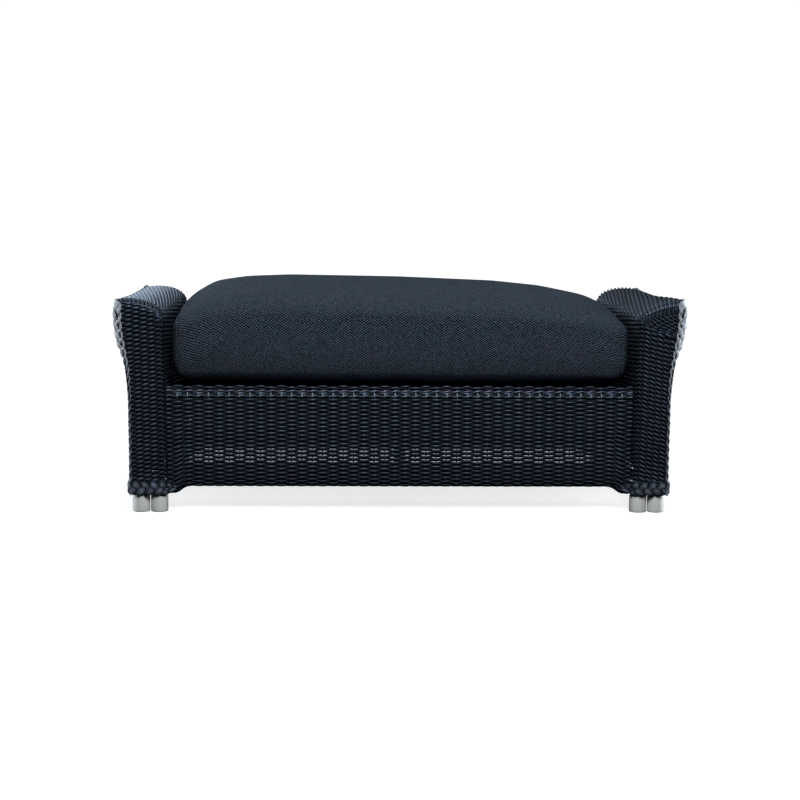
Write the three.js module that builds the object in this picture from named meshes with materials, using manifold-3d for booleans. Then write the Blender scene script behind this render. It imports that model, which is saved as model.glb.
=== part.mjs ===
// A woven outdoor ottoman: a bent aluminium tube frame under woven arms and aprons, a deck of
// interlaced straps, and a loose crowned cushion with a zipped cover.
// Millimetres, +Z up, the front towards -Y, the origin on the floor under the ottoman's middle.
import * as THREE from "three";
import { mergeVertices } from "three/addons/utils/BufferGeometryUtils.js";
import Module from "manifold-3d";

const wasm = await Module();
wasm.setup();

// General fits
const fit = 0.3; // gap between pieces that touch
const overrun = 5; // how far a cutting shape passes the face it cuts

// Arms, given for the right one and mirrored for the left
const arm_depth = 600; // front to back
const arm_height = 408; // floor to the top of the arm
const arm_base = 33; // floor to the lower edge of the weave
const seat_gap = 898; // between the arms, at the bottom
const arm_width = 71; // an arm's width at the bottom
const arm_flare = 27; // how far the outer face leans out at the top
const inner_lean = 7; // how far the inner face leans away from the seat
const shoulder_drop = 36; // from the arm's top down to the straight inner face
const lip_drop = 12; // from the arm's top down to the outer lip
const flare_start = 120; // height where the outer face begins to lean
const skin = 6; // thickness of the woven skin
const edge_round = 18; // how far the arm's top rounds over at its front and back faces
const inner_round_share = 0.4; // how far its inner face rounds there, as a share of the top's
const side_panel_top = 388; // height where the side panel meets the wrap
const crest_share = 0.66; // the arm's highest line, across its top width

// Handles of the arm's curves, as shares of the way that each curve goes
const shoulder_handle_share = 0.53;
const crest_handle_share = 0.35;
const flare_handle_shares = { out: 0.3, upper: 0.19, lower: 0.52 };
const braid_handle_shares = { out: 0.24, upper: 0.27, lower: 0.52 }; // over the edge braid

// Braids over the edges of the weave
const edge_braid_width = 17;
const edge_braid_thickness = 8.5;
const edge_braid_thinning = 3; // how much thinner it is at the bottom
const base_braid_height = 29;
const base_braid_thickness = 6;
const braid_top_drop = 3; // from the arm's top down to the top of the edge braid

// Frame tubes
const leg_radius = 10;
const leg_pitch = 35; // between the two legs of a hoop
const leg_setback = 1.8; // from the weave of the front face back to the leg
const hoop_slack = 4; // how much further the hoop's bend lies under the weave
const seat_rail_radius = 11;
const apron_rail_radius = 7;
const arm_rail_radius = 7;
const brace_radius = 9;
const post_tube_radius = 12;
const tube_wall = 1.6;
const top_rail_shares = { inner: 0.28, outer: 0.68 }; // along the hoop's points

// Feet
const foot_radius = 16;
const foot_taper = 0.6; // how much narrower a foot's radius is at its top
const foot_edge = 1.5; // bevel round the foot's lower edge
const socket_floor = 12; // height of the bottom of the socket that takes the leg

// Aprons
const apron_top = 245.4;
const apron_base = 48; // floor to the apron's lower edge between the arches
const arch_drop = 14; // how far the lower edge comes down beside an arm
const arch_run = 32; // the arch's length
const arch_inset = 8; // from the arm to where the arch begins
const apron_hem = 5; // thickness of the weave round the lower rail

// Deck straps
const strap_thickness = 1.8;
const strap_width = 50;
const strap_count = 6;
const strap_spacing = 130;
const cross_strap_count = 3;
const cross_strap_spacing = 150;
const strap_play = 2; // flat run past the edge of the strap that is crossed
const side_rail_gap = 15; // from the arm's face to the middle of the side rail

// Cushion
const cushion_width = 884;
const cushion_depth = 580;
const cushion_height = 199; // over the crown
const cushion_base = 247; // height of the cushion's lower edge
const cushion_sag = 6.4; // how far its underside settles between the rails
const cushion_corner = 34; // radius of its upright corners
const corner_least = 8.5; // radius of the corners of its innermost rings
const cushion_lower_round = 24;
const cushion_upper_round = 34;
const cushion_draw = 4; // how far the sides pull in between the corners
const draw_run = 84; // length over which a side comes out to its corner
const cover_thickness = 2.5;
const core_gap = 0.7; // between the foam and its cover
const edge_fall_share = 0.17; // how much lower the crown is at the front and back edges
const crown_x_shares = [-1, -0.93, -0.85, -0.7, -0.5, 0, 0.45, 0.67, 0.87, 0.95, 1];
const crown_height_shares = [0.8, 0.87, 0.945, 0.983, 1, 0.982, 0.94, 0.89, 0.8, 0.755, 0.72];
const settle_share = 0.22; // where the underside has settled, in from the edge
const ring_shares = [0.3, 0.6, 1]; // rings over the crown, in from the edge
const side_shares = [-1, -0.84, -0.6, -0.2, 0.2, 0.6, 0.84, 1]; // points along each side of a ring
const arc_shares = [1 / 3, 2 / 3]; // points round each corner of a ring

// Zip in the back of the cushion
const zip_length = 600;
const zip_height = 301; // floor to the middle of the zip
const zip_tape_width = 24;
const zip_tape_thickness = 0.9;
const zip_slot = 6; // height of the cut behind the tape
const zip_root = { width: 2.4, height: 1.5 };
const zip_head = { width: 6, height: 2 };
const slider_length = 16;
const slider_wall = 1.4;
const slider_flange = 0.8;
const slider_park = 16; // from the end of the zip to the slider's middle
const post_radius = 1.6;
const post_head_radius = 3;
const post_head = 0.9;
const pull_thickness = 1.4;
const pull_width = 9;
const pull_length = 28;

// How finely round shapes are divided
const tube_sides = 8;
const foot_sides = 10;
const curve_steps = 4;
const edge_steps = 3;
const arch_steps = 4;
const hook_steps = 6; // bends of a strap round a rail

// Worked out from the values above
const inner_x = seat_gap / 2;
const outer_x = inner_x + arm_width;
const top_inner_x = inner_x + inner_lean;
const top_outer_x = outer_x + arm_flare;
const leg_inset = (arm_width - leg_pitch) / 2;
const leg_y = arm_depth / 2 - skin - leg_setback - leg_radius;
const inner_leg_x = inner_x + leg_inset;
const outer_leg_x = outer_x - leg_inset;
const lip_inner = seat_rail_radius + fit + strap_thickness + fit;
const lip_outer = lip_inner + skin;
const seat_rail_y = leg_y - leg_radius - fit - seat_rail_radius;
const seat_rail_z = apron_top - lip_outer;
const apron_y = seat_rail_y + lip_outer;
const hem_radius = apron_rail_radius + fit + apron_hem;
const apron_rail_y = leg_y - leg_radius - fit - apron_rail_radius;
const apron_rail_z = apron_base + hem_radius;
const rail_reach = inner_leg_x + leg_radius;
const rail_end_y = leg_y - leg_radius - fit;
const low_rail_z = apron_rail_z - arch_drop + apron_rail_radius + fit + arm_rail_radius;
const side_rail_x = inner_x - side_rail_gap;
const strap_radius = seat_rail_radius + fit + strap_thickness / 2;
const strap_level = seat_rail_z + strap_radius;
const strap_wave = strap_thickness / 2 + fit / 2;
const strap_step = strap_width / 2 + strap_play;
const zip_wall_y = cushion_depth / 2 - cushion_draw;

const materials = {
  weave: new THREE.MeshStandardMaterial({ color: 0x161b26, roughness: 0.45, metalness: 0 }),
  braid: new THREE.MeshStandardMaterial({ color: 0x1c2431, roughness: 0.4, metalness: 0 }),
  frame: new THREE.MeshStandardMaterial({ color: 0x20242b, roughness: 0.55, metalness: 0.7 }),
  foot: new THREE.MeshStandardMaterial({ color: 0xb4b1aa, roughness: 0.4, metalness: 0.8 }),
  strap: new THREE.MeshStandardMaterial({ color: 0x1b1b1d, roughness: 0.85, metalness: 0 }),
  fabric: new THREE.MeshStandardMaterial({ color: 0x2a343f, roughness: 0.95, metalness: 0 }),
  foam: new THREE.MeshStandardMaterial({ color: 0xd8d2c0, roughness: 0.95, metalness: 0 }),
  zip: new THREE.MeshStandardMaterial({ color: 0x15181d, roughness: 0.5, metalness: 0 }),
};

const ottoman = new THREE.Group();

function addPiece(name, geometry, material) {
  const mesh = new THREE.Mesh(geometry, material);
  mesh.name = name;
  ottoman.add(mesh);
}

// Adds a piece that is drawn for the right and for the front at each side that it is needed.
function addCopies(name, geometry, material, sides) {
  for (const side of sides) {
    const flip_x = side.includes("left");
    const flip_y = side.includes("back");
    addPiece(`${side}_${name}`, reflected(geometry, flip_x, flip_y), material);
  }
}

const left_right = ["left", "right"];
const front_back = ["front", "back"];
const corners = ["left_front", "left_back", "right_front", "right_back"];

// Solids and geometries

function solidOf(geometry) {
  const bare = geometry.clone();
  bare.deleteAttribute("normal");
  bare.deleteAttribute("uv");
  const merged = mergeVertices(bare);
  const vertProperties = merged.attributes.position.array;
  const triVerts = new Uint32Array(merged.index.array);
  return new wasm.Manifold(new wasm.Mesh({ numProp: 3, vertProperties, triVerts }));
}

function geometryOf(solid) {
  const mesh = solid.getMesh();
  const geometry = new THREE.BufferGeometry();
  geometry.setAttribute("position", new THREE.BufferAttribute(mesh.vertProperties, 3));
  geometry.setIndex(new THREE.BufferAttribute(mesh.triVerts, 1));
  geometry.computeVertexNormals();
  return geometry;
}

function reflected(geometry, flip_x, flip_y) {
  const copy = geometry.index ? geometry.toNonIndexed() : geometry.clone();
  copy.scale(flip_x ? -1 : 1, flip_y ? -1 : 1, 1);
  if (flip_x === flip_y) return copy;
  const place = copy.attributes.position;
  for (let i = 0; i < place.count; i += 3) {
    const second = new THREE.Vector3().fromBufferAttribute(place, i + 1);
    const third = new THREE.Vector3().fromBufferAttribute(place, i + 2);
    place.setXYZ(i + 1, third.x, third.y, third.z);
    place.setXYZ(i + 2, second.x, second.y, second.z);
  }
  copy.computeVertexNormals();
  return copy;
}

const axis_x = new THREE.Vector3(1, 0, 0);
const axis_y = new THREE.Vector3(0, 1, 0);
const axis_z = new THREE.Vector3(0, 0, 1);

// An outline drawn in (x, z), carried from one y to another.
function prismAlongY(shape, from, to) {
  const settings = { depth: to - from, bevelEnabled: false, curveSegments: curve_steps };
  const turn = new THREE.Matrix4().makeBasis(axis_x, axis_z, axis_y.clone().negate());
  return new THREE.ExtrudeGeometry(shape, settings).applyMatrix4(turn).translate(0, to, 0);
}

// An outline drawn in (y, z), carried from one x to another.
function prismAlongX(shape, from, to, curveSegments = curve_steps) {
  const settings = { depth: to - from, bevelEnabled: false, curveSegments };
  const turn = new THREE.Matrix4().makeBasis(axis_y, axis_z, axis_x);
  return new THREE.ExtrudeGeometry(shape, settings).applyMatrix4(turn).translate(from, 0, 0);
}

function block(low, high) {
  const size = new THREE.Vector3().subVectors(high, low);
  const middle = new THREE.Vector3().addVectors(low, high).multiplyScalar(0.5);
  return new THREE.BoxGeometry(size.x, size.y, size.z).translate(middle.x, middle.y, middle.z);
}

function blockSolid(low, high) {
  return solidOf(block(new THREE.Vector3(...low), new THREE.Vector3(...high)));
}

// The triangles over an outline, all turning the way that the outline turns.
function capOf(outline) {
  const { area, triangulateShape } = THREE.ShapeUtils;
  const turn = Math.sign(area(outline));
  return triangulateShape(outline, []).map(([a, b, c]) => {
    const same = Math.sign(area([outline[a], outline[b], outline[c]])) === turn;
    return same ? [a, b, c] : [a, c, b];
  });
}

function volumeOf(points, faces) {
  let volume = 0;
  for (let i = 0; i < faces.length; i += 3) {
    const [a, b, c] = [points[faces[i]], points[faces[i + 1]], points[faces[i + 2]]];
    volume += a.dot(new THREE.Vector3().crossVectors(b, c)) / 6;
  }
  return volume;
}

// Joins points that coincide, and drops the triangles that this closes up.
function welded(geometry) {
  const merged = mergeVertices(geometry);
  const faces = [];
  for (let i = 0; i < merged.index.count; i += 3) {
    const [a, b, c] = [0, 1, 2].map((corner) => merged.index.getX(i + corner));
    if (a !== b && b !== c && c !== a) faces.push(a, b, c);
  }
  merged.setIndex(faces);
  merged.computeVertexNormals();
  return merged;
}

// A solid through rings of points, with a flat face of one outline over each end. With no
// outline, the first and the last ring are closed up already.
function loft(rings, outline = null) {
  const count = rings[0].length;
  const points = rings.flat();
  const last = (rings.length - 1) * count;
  const faces = [];
  for (let r = 0; r + 1 < rings.length; r += 1) {
    for (let i = 0; i < count; i += 1) {
      const a = r * count + i;
      const b = r * count + ((i + 1) % count);
      faces.push(a, b, b + count, a, b + count, a + count);
    }
  }
  for (const [a, b, c] of outline ? capOf(outline) : []) {
    faces.push(a, c, b, last + a, last + b, last + c);
  }
  const geometry = new THREE.BufferGeometry().setFromPoints(points);
  geometry.setIndex(volumeOf(points, faces) > 0 ? faces : faces.reverse());
  return welded(geometry);
}

// A path through a list of points, with one ring of the swept tube at each point.
class RodPath extends THREE.Curve {
  constructor(points) {
    super();
    this.points = points;
  }
  getPoint(t, target = new THREE.Vector3()) {
    const place = t * (this.points.length - 1);
    const i = Math.min(Math.floor(place), this.points.length - 2);
    return target.lerpVectors(this.points[i], this.points[i + 1], place - i);
  }
  getPointAt(u, target) {
    return this.getPoint(u, target);
  }
  getTangentAt(u, target = new THREE.Vector3()) {
    const i = Math.round(u * (this.points.length - 1));
    const before = this.points[Math.max(i - 1, 0)];
    const after = this.points[Math.min(i + 1, this.points.length - 1)];
    return target.subVectors(after, before).normalize();
  }
}

// A round section. A tube has flats at its radius on the axes. A rail that straps hook round has
// corners there, in line with the bends of the straps.
function roundPoints(radius, hooked) {
  const sides = hooked ? 2 * hook_steps : tube_sides;
  const reach = hooked ? radius : radius / Math.cos(Math.PI / sides);
  return Array.from({ length: sides }, (_, i) => {
    const angle = ((hooked ? i : i + 0.5) * 2 * Math.PI) / sides;
    return new THREE.Vector2(reach * Math.cos(angle), reach * Math.sin(angle));
  });
}

// A round rod along points, or a tube if a bore is given.
function rod(points, radius, hooked = false, bore = 0) {
  const section = new THREE.Shape(roundPoints(radius, hooked));
  if (bore > 0) section.holes.push(new THREE.Path(roundPoints(bore, hooked).reverse()));
  const extrudePath = new RodPath(points);
  return new THREE.ExtrudeGeometry(section, { steps: points.length - 1, extrudePath });
}

function tube(points, radius, hooked = false) {
  return rod(points, radius, hooked, radius - tube_wall);
}

function straight(from, to) {
  return [new THREE.Vector3(...from), new THREE.Vector3(...to)];
}

// Arms

// The arm's outline in (x, z), from the foot of the inner face over the top and down outside.
// Each face is moved in by its inset, or out by a negative one.
function armOutline(insets, base, slack = 0, braided = false) {
  const path = new THREE.Path();
  const low_x = inner_x + insets.inner;
  const high_x = top_inner_x + insets.inner;
  const lip_x = top_outer_x - insets.outer - slack;
  const foot_x = outer_x - insets.outer - (braided ? edge_braid_thinning : 0);
  const top = arm_height - insets.top - slack;
  const shoulder = arm_height - shoulder_drop;
  const rise = top - shoulder;
  const crest_x = high_x + crest_share * (lip_x - high_x);
  const lip_z = top - lip_drop;
  const lean = foot_x - lip_x;
  const fall = lip_z - flare_start;
  const shares = braided ? braid_handle_shares : flare_handle_shares;
  const over_x = high_x + crest_handle_share * (crest_x - high_x);
  path.moveTo(low_x, base);
  path.lineTo(low_x, arm_base);
  path.lineTo(high_x, shoulder);
  path.bezierCurveTo(high_x, shoulder + shoulder_handle_share * rise, over_x, top, crest_x, top);
  path.quadraticCurveTo(lip_x, top, lip_x, lip_z);
  const upper_z = lip_z - shares.upper * fall;
  const lower_z = flare_start + shares.lower * fall;
  path.bezierCurveTo(lip_x + shares.out * lean, upper_z, foot_x, lower_z, foot_x, flare_start);
  path.lineTo(foot_x, base);
  return path.getPoints(curve_steps);
}

function evenInsets(inset) {
  return { inner: inset, outer: inset, top: inset };
}

// The arm as a full form with its faces moved in by an inset, or out by a negative one.
function armForm(inset, base, braided = false) {
  const reach = arm_depth / 2 - inset;
  const round = edge_round - inset;
  const stations = [];
  for (let i = 0; i <= edge_steps; i += 1) {
    const turn = ((i / edge_steps) * Math.PI) / 2;
    const back = round * (1 - Math.cos(turn));
    stations.push({ y: reach - back, drop: round * (1 - Math.sin(turn)) });
  }
  const mirrored = stations.map((station) => ({ y: -station.y, drop: station.drop }));
  const rings = [...mirrored, ...stations.reverse()].map(({ y, drop }) => {
    const insets = { inner: inset + inner_round_share * drop, outer: inset, top: inset + drop };
    const outline = armOutline(insets, base, 0, braided);
    return outline.map((point) => new THREE.Vector3(point.x, y, point.y));
  });
  return solidOf(loft(rings, armOutline(evenInsets(inset), base, 0, braided)));
}

const arm_far = top_outer_x + edge_round + edge_braid_thickness + overrun;
const arm_middle = (top_inner_x + outer_x) / 2;

function railHole(y, z, radius, hooked) {
  const passing = straight([side_rail_x, y, z], [outer_leg_x, y, z]);
  return solidOf(rod(passing, radius + fit, hooked));
}

function armSkin() {
  const hollow = armForm(skin, arm_base - overrun);
  let shell = armForm(0, arm_base).subtract(hollow);
  for (const side of [-1, 1]) {
    const low_z = apron_rail_z - arch_drop;
    shell = shell.subtract(railHole(side * seat_rail_y, seat_rail_z, seat_rail_radius, true));
    shell = shell.subtract(railHole(side * apron_rail_y, low_z, apron_rail_radius, false));
  }
  return shell;
}

function sidePanelRoom(gap) {
  const reach = arm_depth / 2 - skin - gap;
  const low = [outer_x - 2 * skin, -reach, arm_base - overrun];
  return blockSolid(low, [arm_far, reach, side_panel_top - gap]);
}

// A layer outside the arm, which the braids are cut from.
function armLayer(thickness, braided) {
  const under = armForm(-fit, arm_base - overrun);
  return armForm(-fit - thickness, arm_base - overrun, braided).subtract(under);
}

function edgeBraid() {
  const bottom = arm_base + base_braid_height + fit;
  const top = arm_height - braid_top_drop;
  const reach = arm_depth / 2;
  const inner = reach - edge_braid_width;
  const lip_x = top_outer_x - lip_drop / 2;
  const window_top = top - edge_braid_width;
  const band = blockSolid([outer_x, -reach, bottom], [arm_far, reach, top]);
  const window = blockSolid([arm_middle, -inner, 0], [arm_far + overrun, inner, window_top]);
  const crown = blockSolid([arm_middle, -arm_depth, window_top], [lip_x, arm_depth, arm_height + overrun]);
  return armLayer(edge_braid_thickness, true).intersect(band).subtract(window).subtract(crown);
}

function baseBraid() {
  const reach = arm_depth / 2 + base_braid_thickness + overrun;
  const top = arm_base + base_braid_height;
  const band = blockSolid([side_rail_x, -reach, arm_base], [arm_far, reach, top]);
  const seat_side = apron_y + fit;
  const low = [side_rail_x - overrun, -seat_side, arm_base - overrun];
  const window = blockSolid(low, [arm_middle, seat_side, top + overrun]);
  return armLayer(base_braid_thickness, false).intersect(band.subtract(window));
}

const arm_skin = armSkin();
const arm_wrap = geometryOf(arm_skin.subtract(sidePanelRoom(0)));
const arm_side_panel = geometryOf(arm_skin.intersect(sidePanelRoom(fit)));
addCopies("arm_wrap", arm_wrap, materials.weave, left_right);
addCopies("arm_side_panel", arm_side_panel, materials.weave, left_right);
addCopies("arm_edge_braid", geometryOf(edgeBraid()), materials.braid, left_right);
addCopies("arm_base_braid", geometryOf(baseBraid()), materials.braid, left_right);

// Frame

// A leg hoop follows the arm's outline, one leg on each side.
function hoopPoints() {
  const outline = armOutline(evenInsets(leg_inset), socket_floor + fit, hoop_slack);
  return outline.map((point) => new THREE.Vector3(point.x, -leg_y, point.y));
}

const hoop_points = hoopPoints();
addCopies("leg_hoop", tube(hoop_points, leg_radius), materials.frame, corners);

function seatRail() {
  const y = -seat_rail_y;
  const points = straight([-rail_reach, y, seat_rail_z], [rail_reach, y, seat_rail_z]);
  return tube(points, seat_rail_radius, true);
}

function addFrontAndBack(name, geometry, material) {
  for (const side of front_back) {
    addPiece(`${side}_${name}`, reflected(geometry, false, side === "back"), material);
  }
}

addFrontAndBack("seat_rail", seatRail(), materials.frame);

function sideRail() {
  const reach = seat_rail_y - seat_rail_radius - fit;
  const points = straight([side_rail_x, -reach, seat_rail_z], [side_rail_x, reach, seat_rail_z]);
  return tube(points, seat_rail_radius, true);
}

addCopies("seat_side_rail", sideRail(), materials.frame, left_right);

// The lower edge of an apron comes down in a quarter wave beside each arm.
function apronEdge(reach) {
  const start = inner_x - arch_inset;
  const points = [new THREE.Vector2(reach, -arch_drop)];
  for (let i = 0; i <= arch_steps; i += 1) {
    const share = i / arch_steps;
    const fall = (arch_drop * (1 + Math.cos(share * Math.PI))) / 2;
    points.push(new THREE.Vector2(start - share * arch_run, -fall));
  }
  const other = points.map((point) => new THREE.Vector2(-point.x, point.y)).reverse();
  return [...points, ...other];
}

function apronRailPoints(reach) {
  const edge = apronEdge(reach);
  return edge.map((point) => new THREE.Vector3(point.x, -apron_rail_y, apron_rail_z + point.y));
}

addFrontAndBack("apron_rail", tube(apronRailPoints(rail_reach), apron_rail_radius), materials.frame);

function armRail(x, z) {
  return tube(straight([x, -rail_end_y, z], [x, rail_end_y, z]), arm_rail_radius);
}

function hoopPlace(share) {
  return hoop_points[Math.round(share * (hoop_points.length - 1))];
}

const arm_rail_places = {
  lower_inner: { x: inner_leg_x, z: low_rail_z },
  lower_outer: { x: outer_leg_x, z: low_rail_z },
  top_inner: hoopPlace(top_rail_shares.inner),
  top_outer: hoopPlace(top_rail_shares.outer),
};

for (const [place, { x, z }] of Object.entries(arm_rail_places)) {
  addCopies(`arm_${place}_rail`, armRail(x, z), materials.frame, left_right);
}

function centrePost() {
  const low = apron_rail_z + apron_rail_radius + fit;
  const high = seat_rail_z - seat_rail_radius - fit;
  return tube(straight([0, -seat_rail_y, low], [0, -seat_rail_y, high]), post_tube_radius);
}

addFrontAndBack("centre_post", centrePost(), materials.frame);

function seatBrace() {
  const reach = seat_rail_y - seat_rail_radius - fit;
  return tube(straight([0, -reach, seat_rail_z], [0, reach, seat_rail_z]), brace_radius);
}

addPiece("seat_brace", seatBrace(), materials.frame);

// A foot is a cap with a socket that the leg stands in.
function foot() {
  const top = arm_base - fit;
  const leg_corner = leg_radius / Math.cos(Math.PI / tube_sides);
  const socket = (leg_corner + fit) / Math.cos(Math.PI / foot_sides);
  const profile = [
    [0, 0],
    [foot_radius - foot_edge, 0],
    [foot_radius, foot_edge],
    [foot_radius - foot_taper, top],
    [socket, top],
    [socket, socket_floor],
    [0, socket_floor],
  ];
  const points = profile.map(([x, y]) => new THREE.Vector2(x, y));
  return new THREE.LatheGeometry(points, foot_sides).rotateX(Math.PI / 2);
}

for (const [place, x] of Object.entries({ inner: inner_leg_x, outer: outer_leg_x })) {
  addCopies(`${place}_foot`, foot().translate(x, -leg_y, 0), materials.foot, corners);
}

// Aprons

// The front apron: a panel from the lower rail up and over the seat rail, with a hem at the bottom.
function apron() {
  const reach = inner_x + inner_lean + overrun;
  const outer_y = -apron_y;
  const inner_y = outer_y + skin;
  const edge = apronEdge(reach).map((point) => new THREE.Vector2(point.x, apron_base + point.y));
  const outline = [...edge, new THREE.Vector2(-reach, seat_rail_z), new THREE.Vector2(reach, seat_rail_z)];
  const plate = solidOf(prismAlongY(new THREE.Shape(outline), outer_y, inner_y));
  const lip = new THREE.Shape();
  lip.absarc(-seat_rail_y, seat_rail_z, lip_outer, Math.PI, Math.PI / 2, true);
  lip.absarc(-seat_rail_y, seat_rail_z, lip_inner, Math.PI / 2, Math.PI, false);
  const lip_low = seat_rail_z - fit;
  lip.lineTo(inner_y, lip_low);
  lip.lineTo(outer_y, lip_low);
  const hem = solidOf(rod(apronRailPoints(reach), hem_radius));
  const bore = solidOf(rod(apronRailPoints(reach + overrun), apron_rail_radius + fit));
  const post = straight([0, -seat_rail_y, apron_rail_z], [0, -seat_rail_y, seat_rail_z]);
  const post_room = solidOf(rod(post, post_tube_radius + fit));
  const fold = solidOf(prismAlongX(lip, -reach, reach, hook_steps / 2));
  const folded = plate.add(fold).add(hem);
  const panel = folded.subtract(bore).subtract(post_room);
  const arm = geometryOf(armForm(-fit, arm_base - overrun));
  const trimmed = panel.subtract(solidOf(arm)).subtract(solidOf(reflected(arm, true, false)));
  return geometryOf(trimmed);
}

addFrontAndBack("apron_panel", apron(), materials.weave);

// Deck straps

// A ribbon of even thickness along a line of points, as an outline.
function ribbon(points) {
  const half = strap_thickness / 2;
  const offset = (side) => points.map((point, i) => {
    const before = points[Math.max(i - 1, 0)];
    const after = points[Math.min(i + 1, points.length - 1)];
    const along = after.clone().sub(before).normalize();
    return new THREE.Vector2(point.x - side * half * along.y, point.y + side * half * along.x);
  });
  return new THREE.Shape([...offset(1), ...offset(-1).reverse()]);
}

// A strap hooks round one rail, crosses the others over and under, and hooks round the far rail.
function strapLine(rail, crossings, phase) {
  const hook = [];
  for (let i = 0; i <= hook_steps; i += 1) {
    const angle = Math.PI * (1.5 - i / hook_steps);
    const out = strap_radius * Math.cos(angle);
    hook.push(new THREE.Vector2(-rail + out, seat_rail_z + strap_radius * Math.sin(angle)));
  }
  const wave = [];
  crossings.forEach((place, i) => {
    const level = strap_level + ((i + phase) % 2 === 0 ? strap_wave : -strap_wave);
    wave.push(new THREE.Vector2(place - strap_step, level));
    wave.push(new THREE.Vector2(place + strap_step, level));
  });
  const far = hook.map((point) => new THREE.Vector2(-point.x, point.y)).reverse();
  return [...hook, ...wave, ...far];
}

function spread(count, spacing) {
  return Array.from({ length: count }, (_, i) => (i - (count - 1) / 2) * spacing);
}

const strap_places = spread(strap_count, strap_spacing);
const cross_places = spread(cross_strap_count, cross_strap_spacing);

strap_places.forEach((place, i) => {
  const line = strapLine(seat_rail_y, cross_places, i % 2);
  const half = strap_width / 2;
  addPiece(`deck_strap_${i + 1}`, prismAlongX(ribbon(line), place - half, place + half), materials.strap);
});

cross_places.forEach((place, i) => {
  const line = strapLine(side_rail_x, strap_places, (i + 1) % 2);
  const half = strap_width / 2;
  addPiece(`deck_cross_strap_${i + 1}`, prismAlongY(ribbon(line), place - half, place + half), materials.strap);
});

// Cushion

function crownShare(share) {
  const last = crown_x_shares.length - 1;
  const place = THREE.MathUtils.clamp(share, -1, 1);
  const i = Math.min(crown_x_shares.findIndex((edge) => place < edge), last);
  const high = i < 0 ? last : i;
  const step = (place - crown_x_shares[high - 1]) / (crown_x_shares[high] - crown_x_shares[high - 1]);
  return THREE.MathUtils.lerp(crown_height_shares[high - 1], crown_height_shares[high], step);
}

function crownHeight(x, y) {
  const across = x / (cushion_width / 2);
  const along = y / (cushion_depth / 2);
  return cushion_base + cushion_height * crownShare(across) * (1 - edge_fall_share * along * along);
}

// One level outline of the cushion, with its sides drawn in between the corners.
function cushionRing(inset, level) {
  const half_x = cushion_width / 2 - inset;
  const half_y = cushion_depth / 2 - inset;
  const round = Math.min(Math.max(cushion_corner - inset, corner_least), half_y);
  const draw = (cushion_draw * half_y) / (cushion_depth / 2);
  const drawn = (distance) => draw * THREE.MathUtils.smoothstep(distance / draw_run, 0, 1);
  const points = [];
  for (let quarter = 0; quarter < 4; quarter += 1) {
    const along_x = quarter % 2 === 0;
    const half_run = (along_x ? half_x : half_y) - round;
    const out = along_x ? half_y : half_x;
    const ahead = new THREE.Vector2(Math.cos((quarter * Math.PI) / 2), Math.sin((quarter * Math.PI) / 2));
    const aside = new THREE.Vector2(ahead.y, -ahead.x);
    for (const share of side_shares) {
      const depth = out - drawn(half_run - Math.abs(share) * half_run);
      points.push(ahead.clone().multiplyScalar(share * half_run).addScaledVector(aside, depth));
    }
    const middle = ahead.clone().multiplyScalar(half_run).addScaledVector(aside, out - round);
    for (const share of arc_shares) {
      const angle = (share * Math.PI) / 2;
      const spoke = aside.clone().multiplyScalar(Math.cos(angle)).addScaledVector(ahead, Math.sin(angle));
      points.push(middle.clone().addScaledVector(spoke, round));
    }
  }
  return points.map((point) => new THREE.Vector3(point.x, point.y, level(point.x, point.y)));
}

// The cushion's form with its surface moved in by a wall.
function cushionForm(wall) {
  const half = cushion_depth / 2;
  const under = cushion_base + wall;
  const settled = under - cushion_sag;
  const lower = cushion_lower_round - wall;
  const upper = cushion_upper_round - wall;
  const top = (x, y) => crownHeight(x, y) - wall;
  const turns = Array.from({ length: edge_steps + 1 }, (_, i) => ((i / edge_steps) * Math.PI) / 2);
  const rings = [half, wall + settle_share * half].map((inset) => cushionRing(inset, () => settled));
  for (const turn of turns) {
    const inset = wall + lower * (1 - Math.sin(turn));
    rings.push(cushionRing(inset, () => under + lower * (1 - Math.cos(turn))));
  }
  for (const turn of turns) {
    const inset = wall + upper * (1 - Math.cos(turn));
    rings.push(cushionRing(inset, (x, y) => top(x, y) - upper * (1 - Math.sin(turn))));
  }
  for (const share of ring_shares) {
    rings.push(cushionRing(wall + share * (half - wall), top));
  }
  return loft(rings);
}

const cover_solid = solidOf(cushionForm(0)).subtract(solidOf(cushionForm(cover_thickness)));
const slot_low = [-zip_length / 2, zip_wall_y - cover_thickness - overrun, zip_height - zip_slot / 2];
const slot_high = [zip_length / 2, zip_wall_y + overrun, zip_height + zip_slot / 2];
const zip_opening = blockSolid(slot_low, slot_high);
addPiece("cushion_cover", geometryOf(cover_solid.subtract(zip_opening)), materials.fabric);

// The foam fills the cover's inside but for a small gap all round.
function foamCore() {
  const middle_z = cushion_base + cushion_height / 2;
  const shrink = (length) => 1 - (2 * core_gap) / length;
  const core = cushionForm(cover_thickness).translate(0, 0, -middle_z);
  core.scale(shrink(cushion_width), shrink(cushion_depth), shrink(cushion_height));
  return core.translate(0, 0, middle_z);
}

addPiece("cushion_foam_core", foamCore(), materials.foam);

// The closed zip: a tape on the cover with a row of teeth that stands out as a rail.
const tape_y = zip_wall_y + fit;
const root_y = tape_y + zip_tape_thickness;
const head_y = root_y + zip_root.height;
const head_top_y = head_y + zip_head.height;

function zipChain() {
  const rail = new THREE.Shape();
  const half_tape = zip_tape_width / 2;
  const half_root = zip_root.width / 2;
  const half_head = zip_head.width / 2;
  const side = [
    [tape_y, half_tape],
    [root_y, half_tape],
    [root_y, half_root],
    [head_y, half_root],
    [head_y, half_head],
    [head_top_y, half_head],
  ];
  const upper = side.map(([y, z]) => new THREE.Vector2(y, zip_height + z));
  const lower = side.map(([y, z]) => new THREE.Vector2(y, zip_height - z)).reverse();
  rail.setFromPoints([...upper, ...lower]);
  return prismAlongX(rail, -zip_length / 2, zip_length / 2);
}

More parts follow.
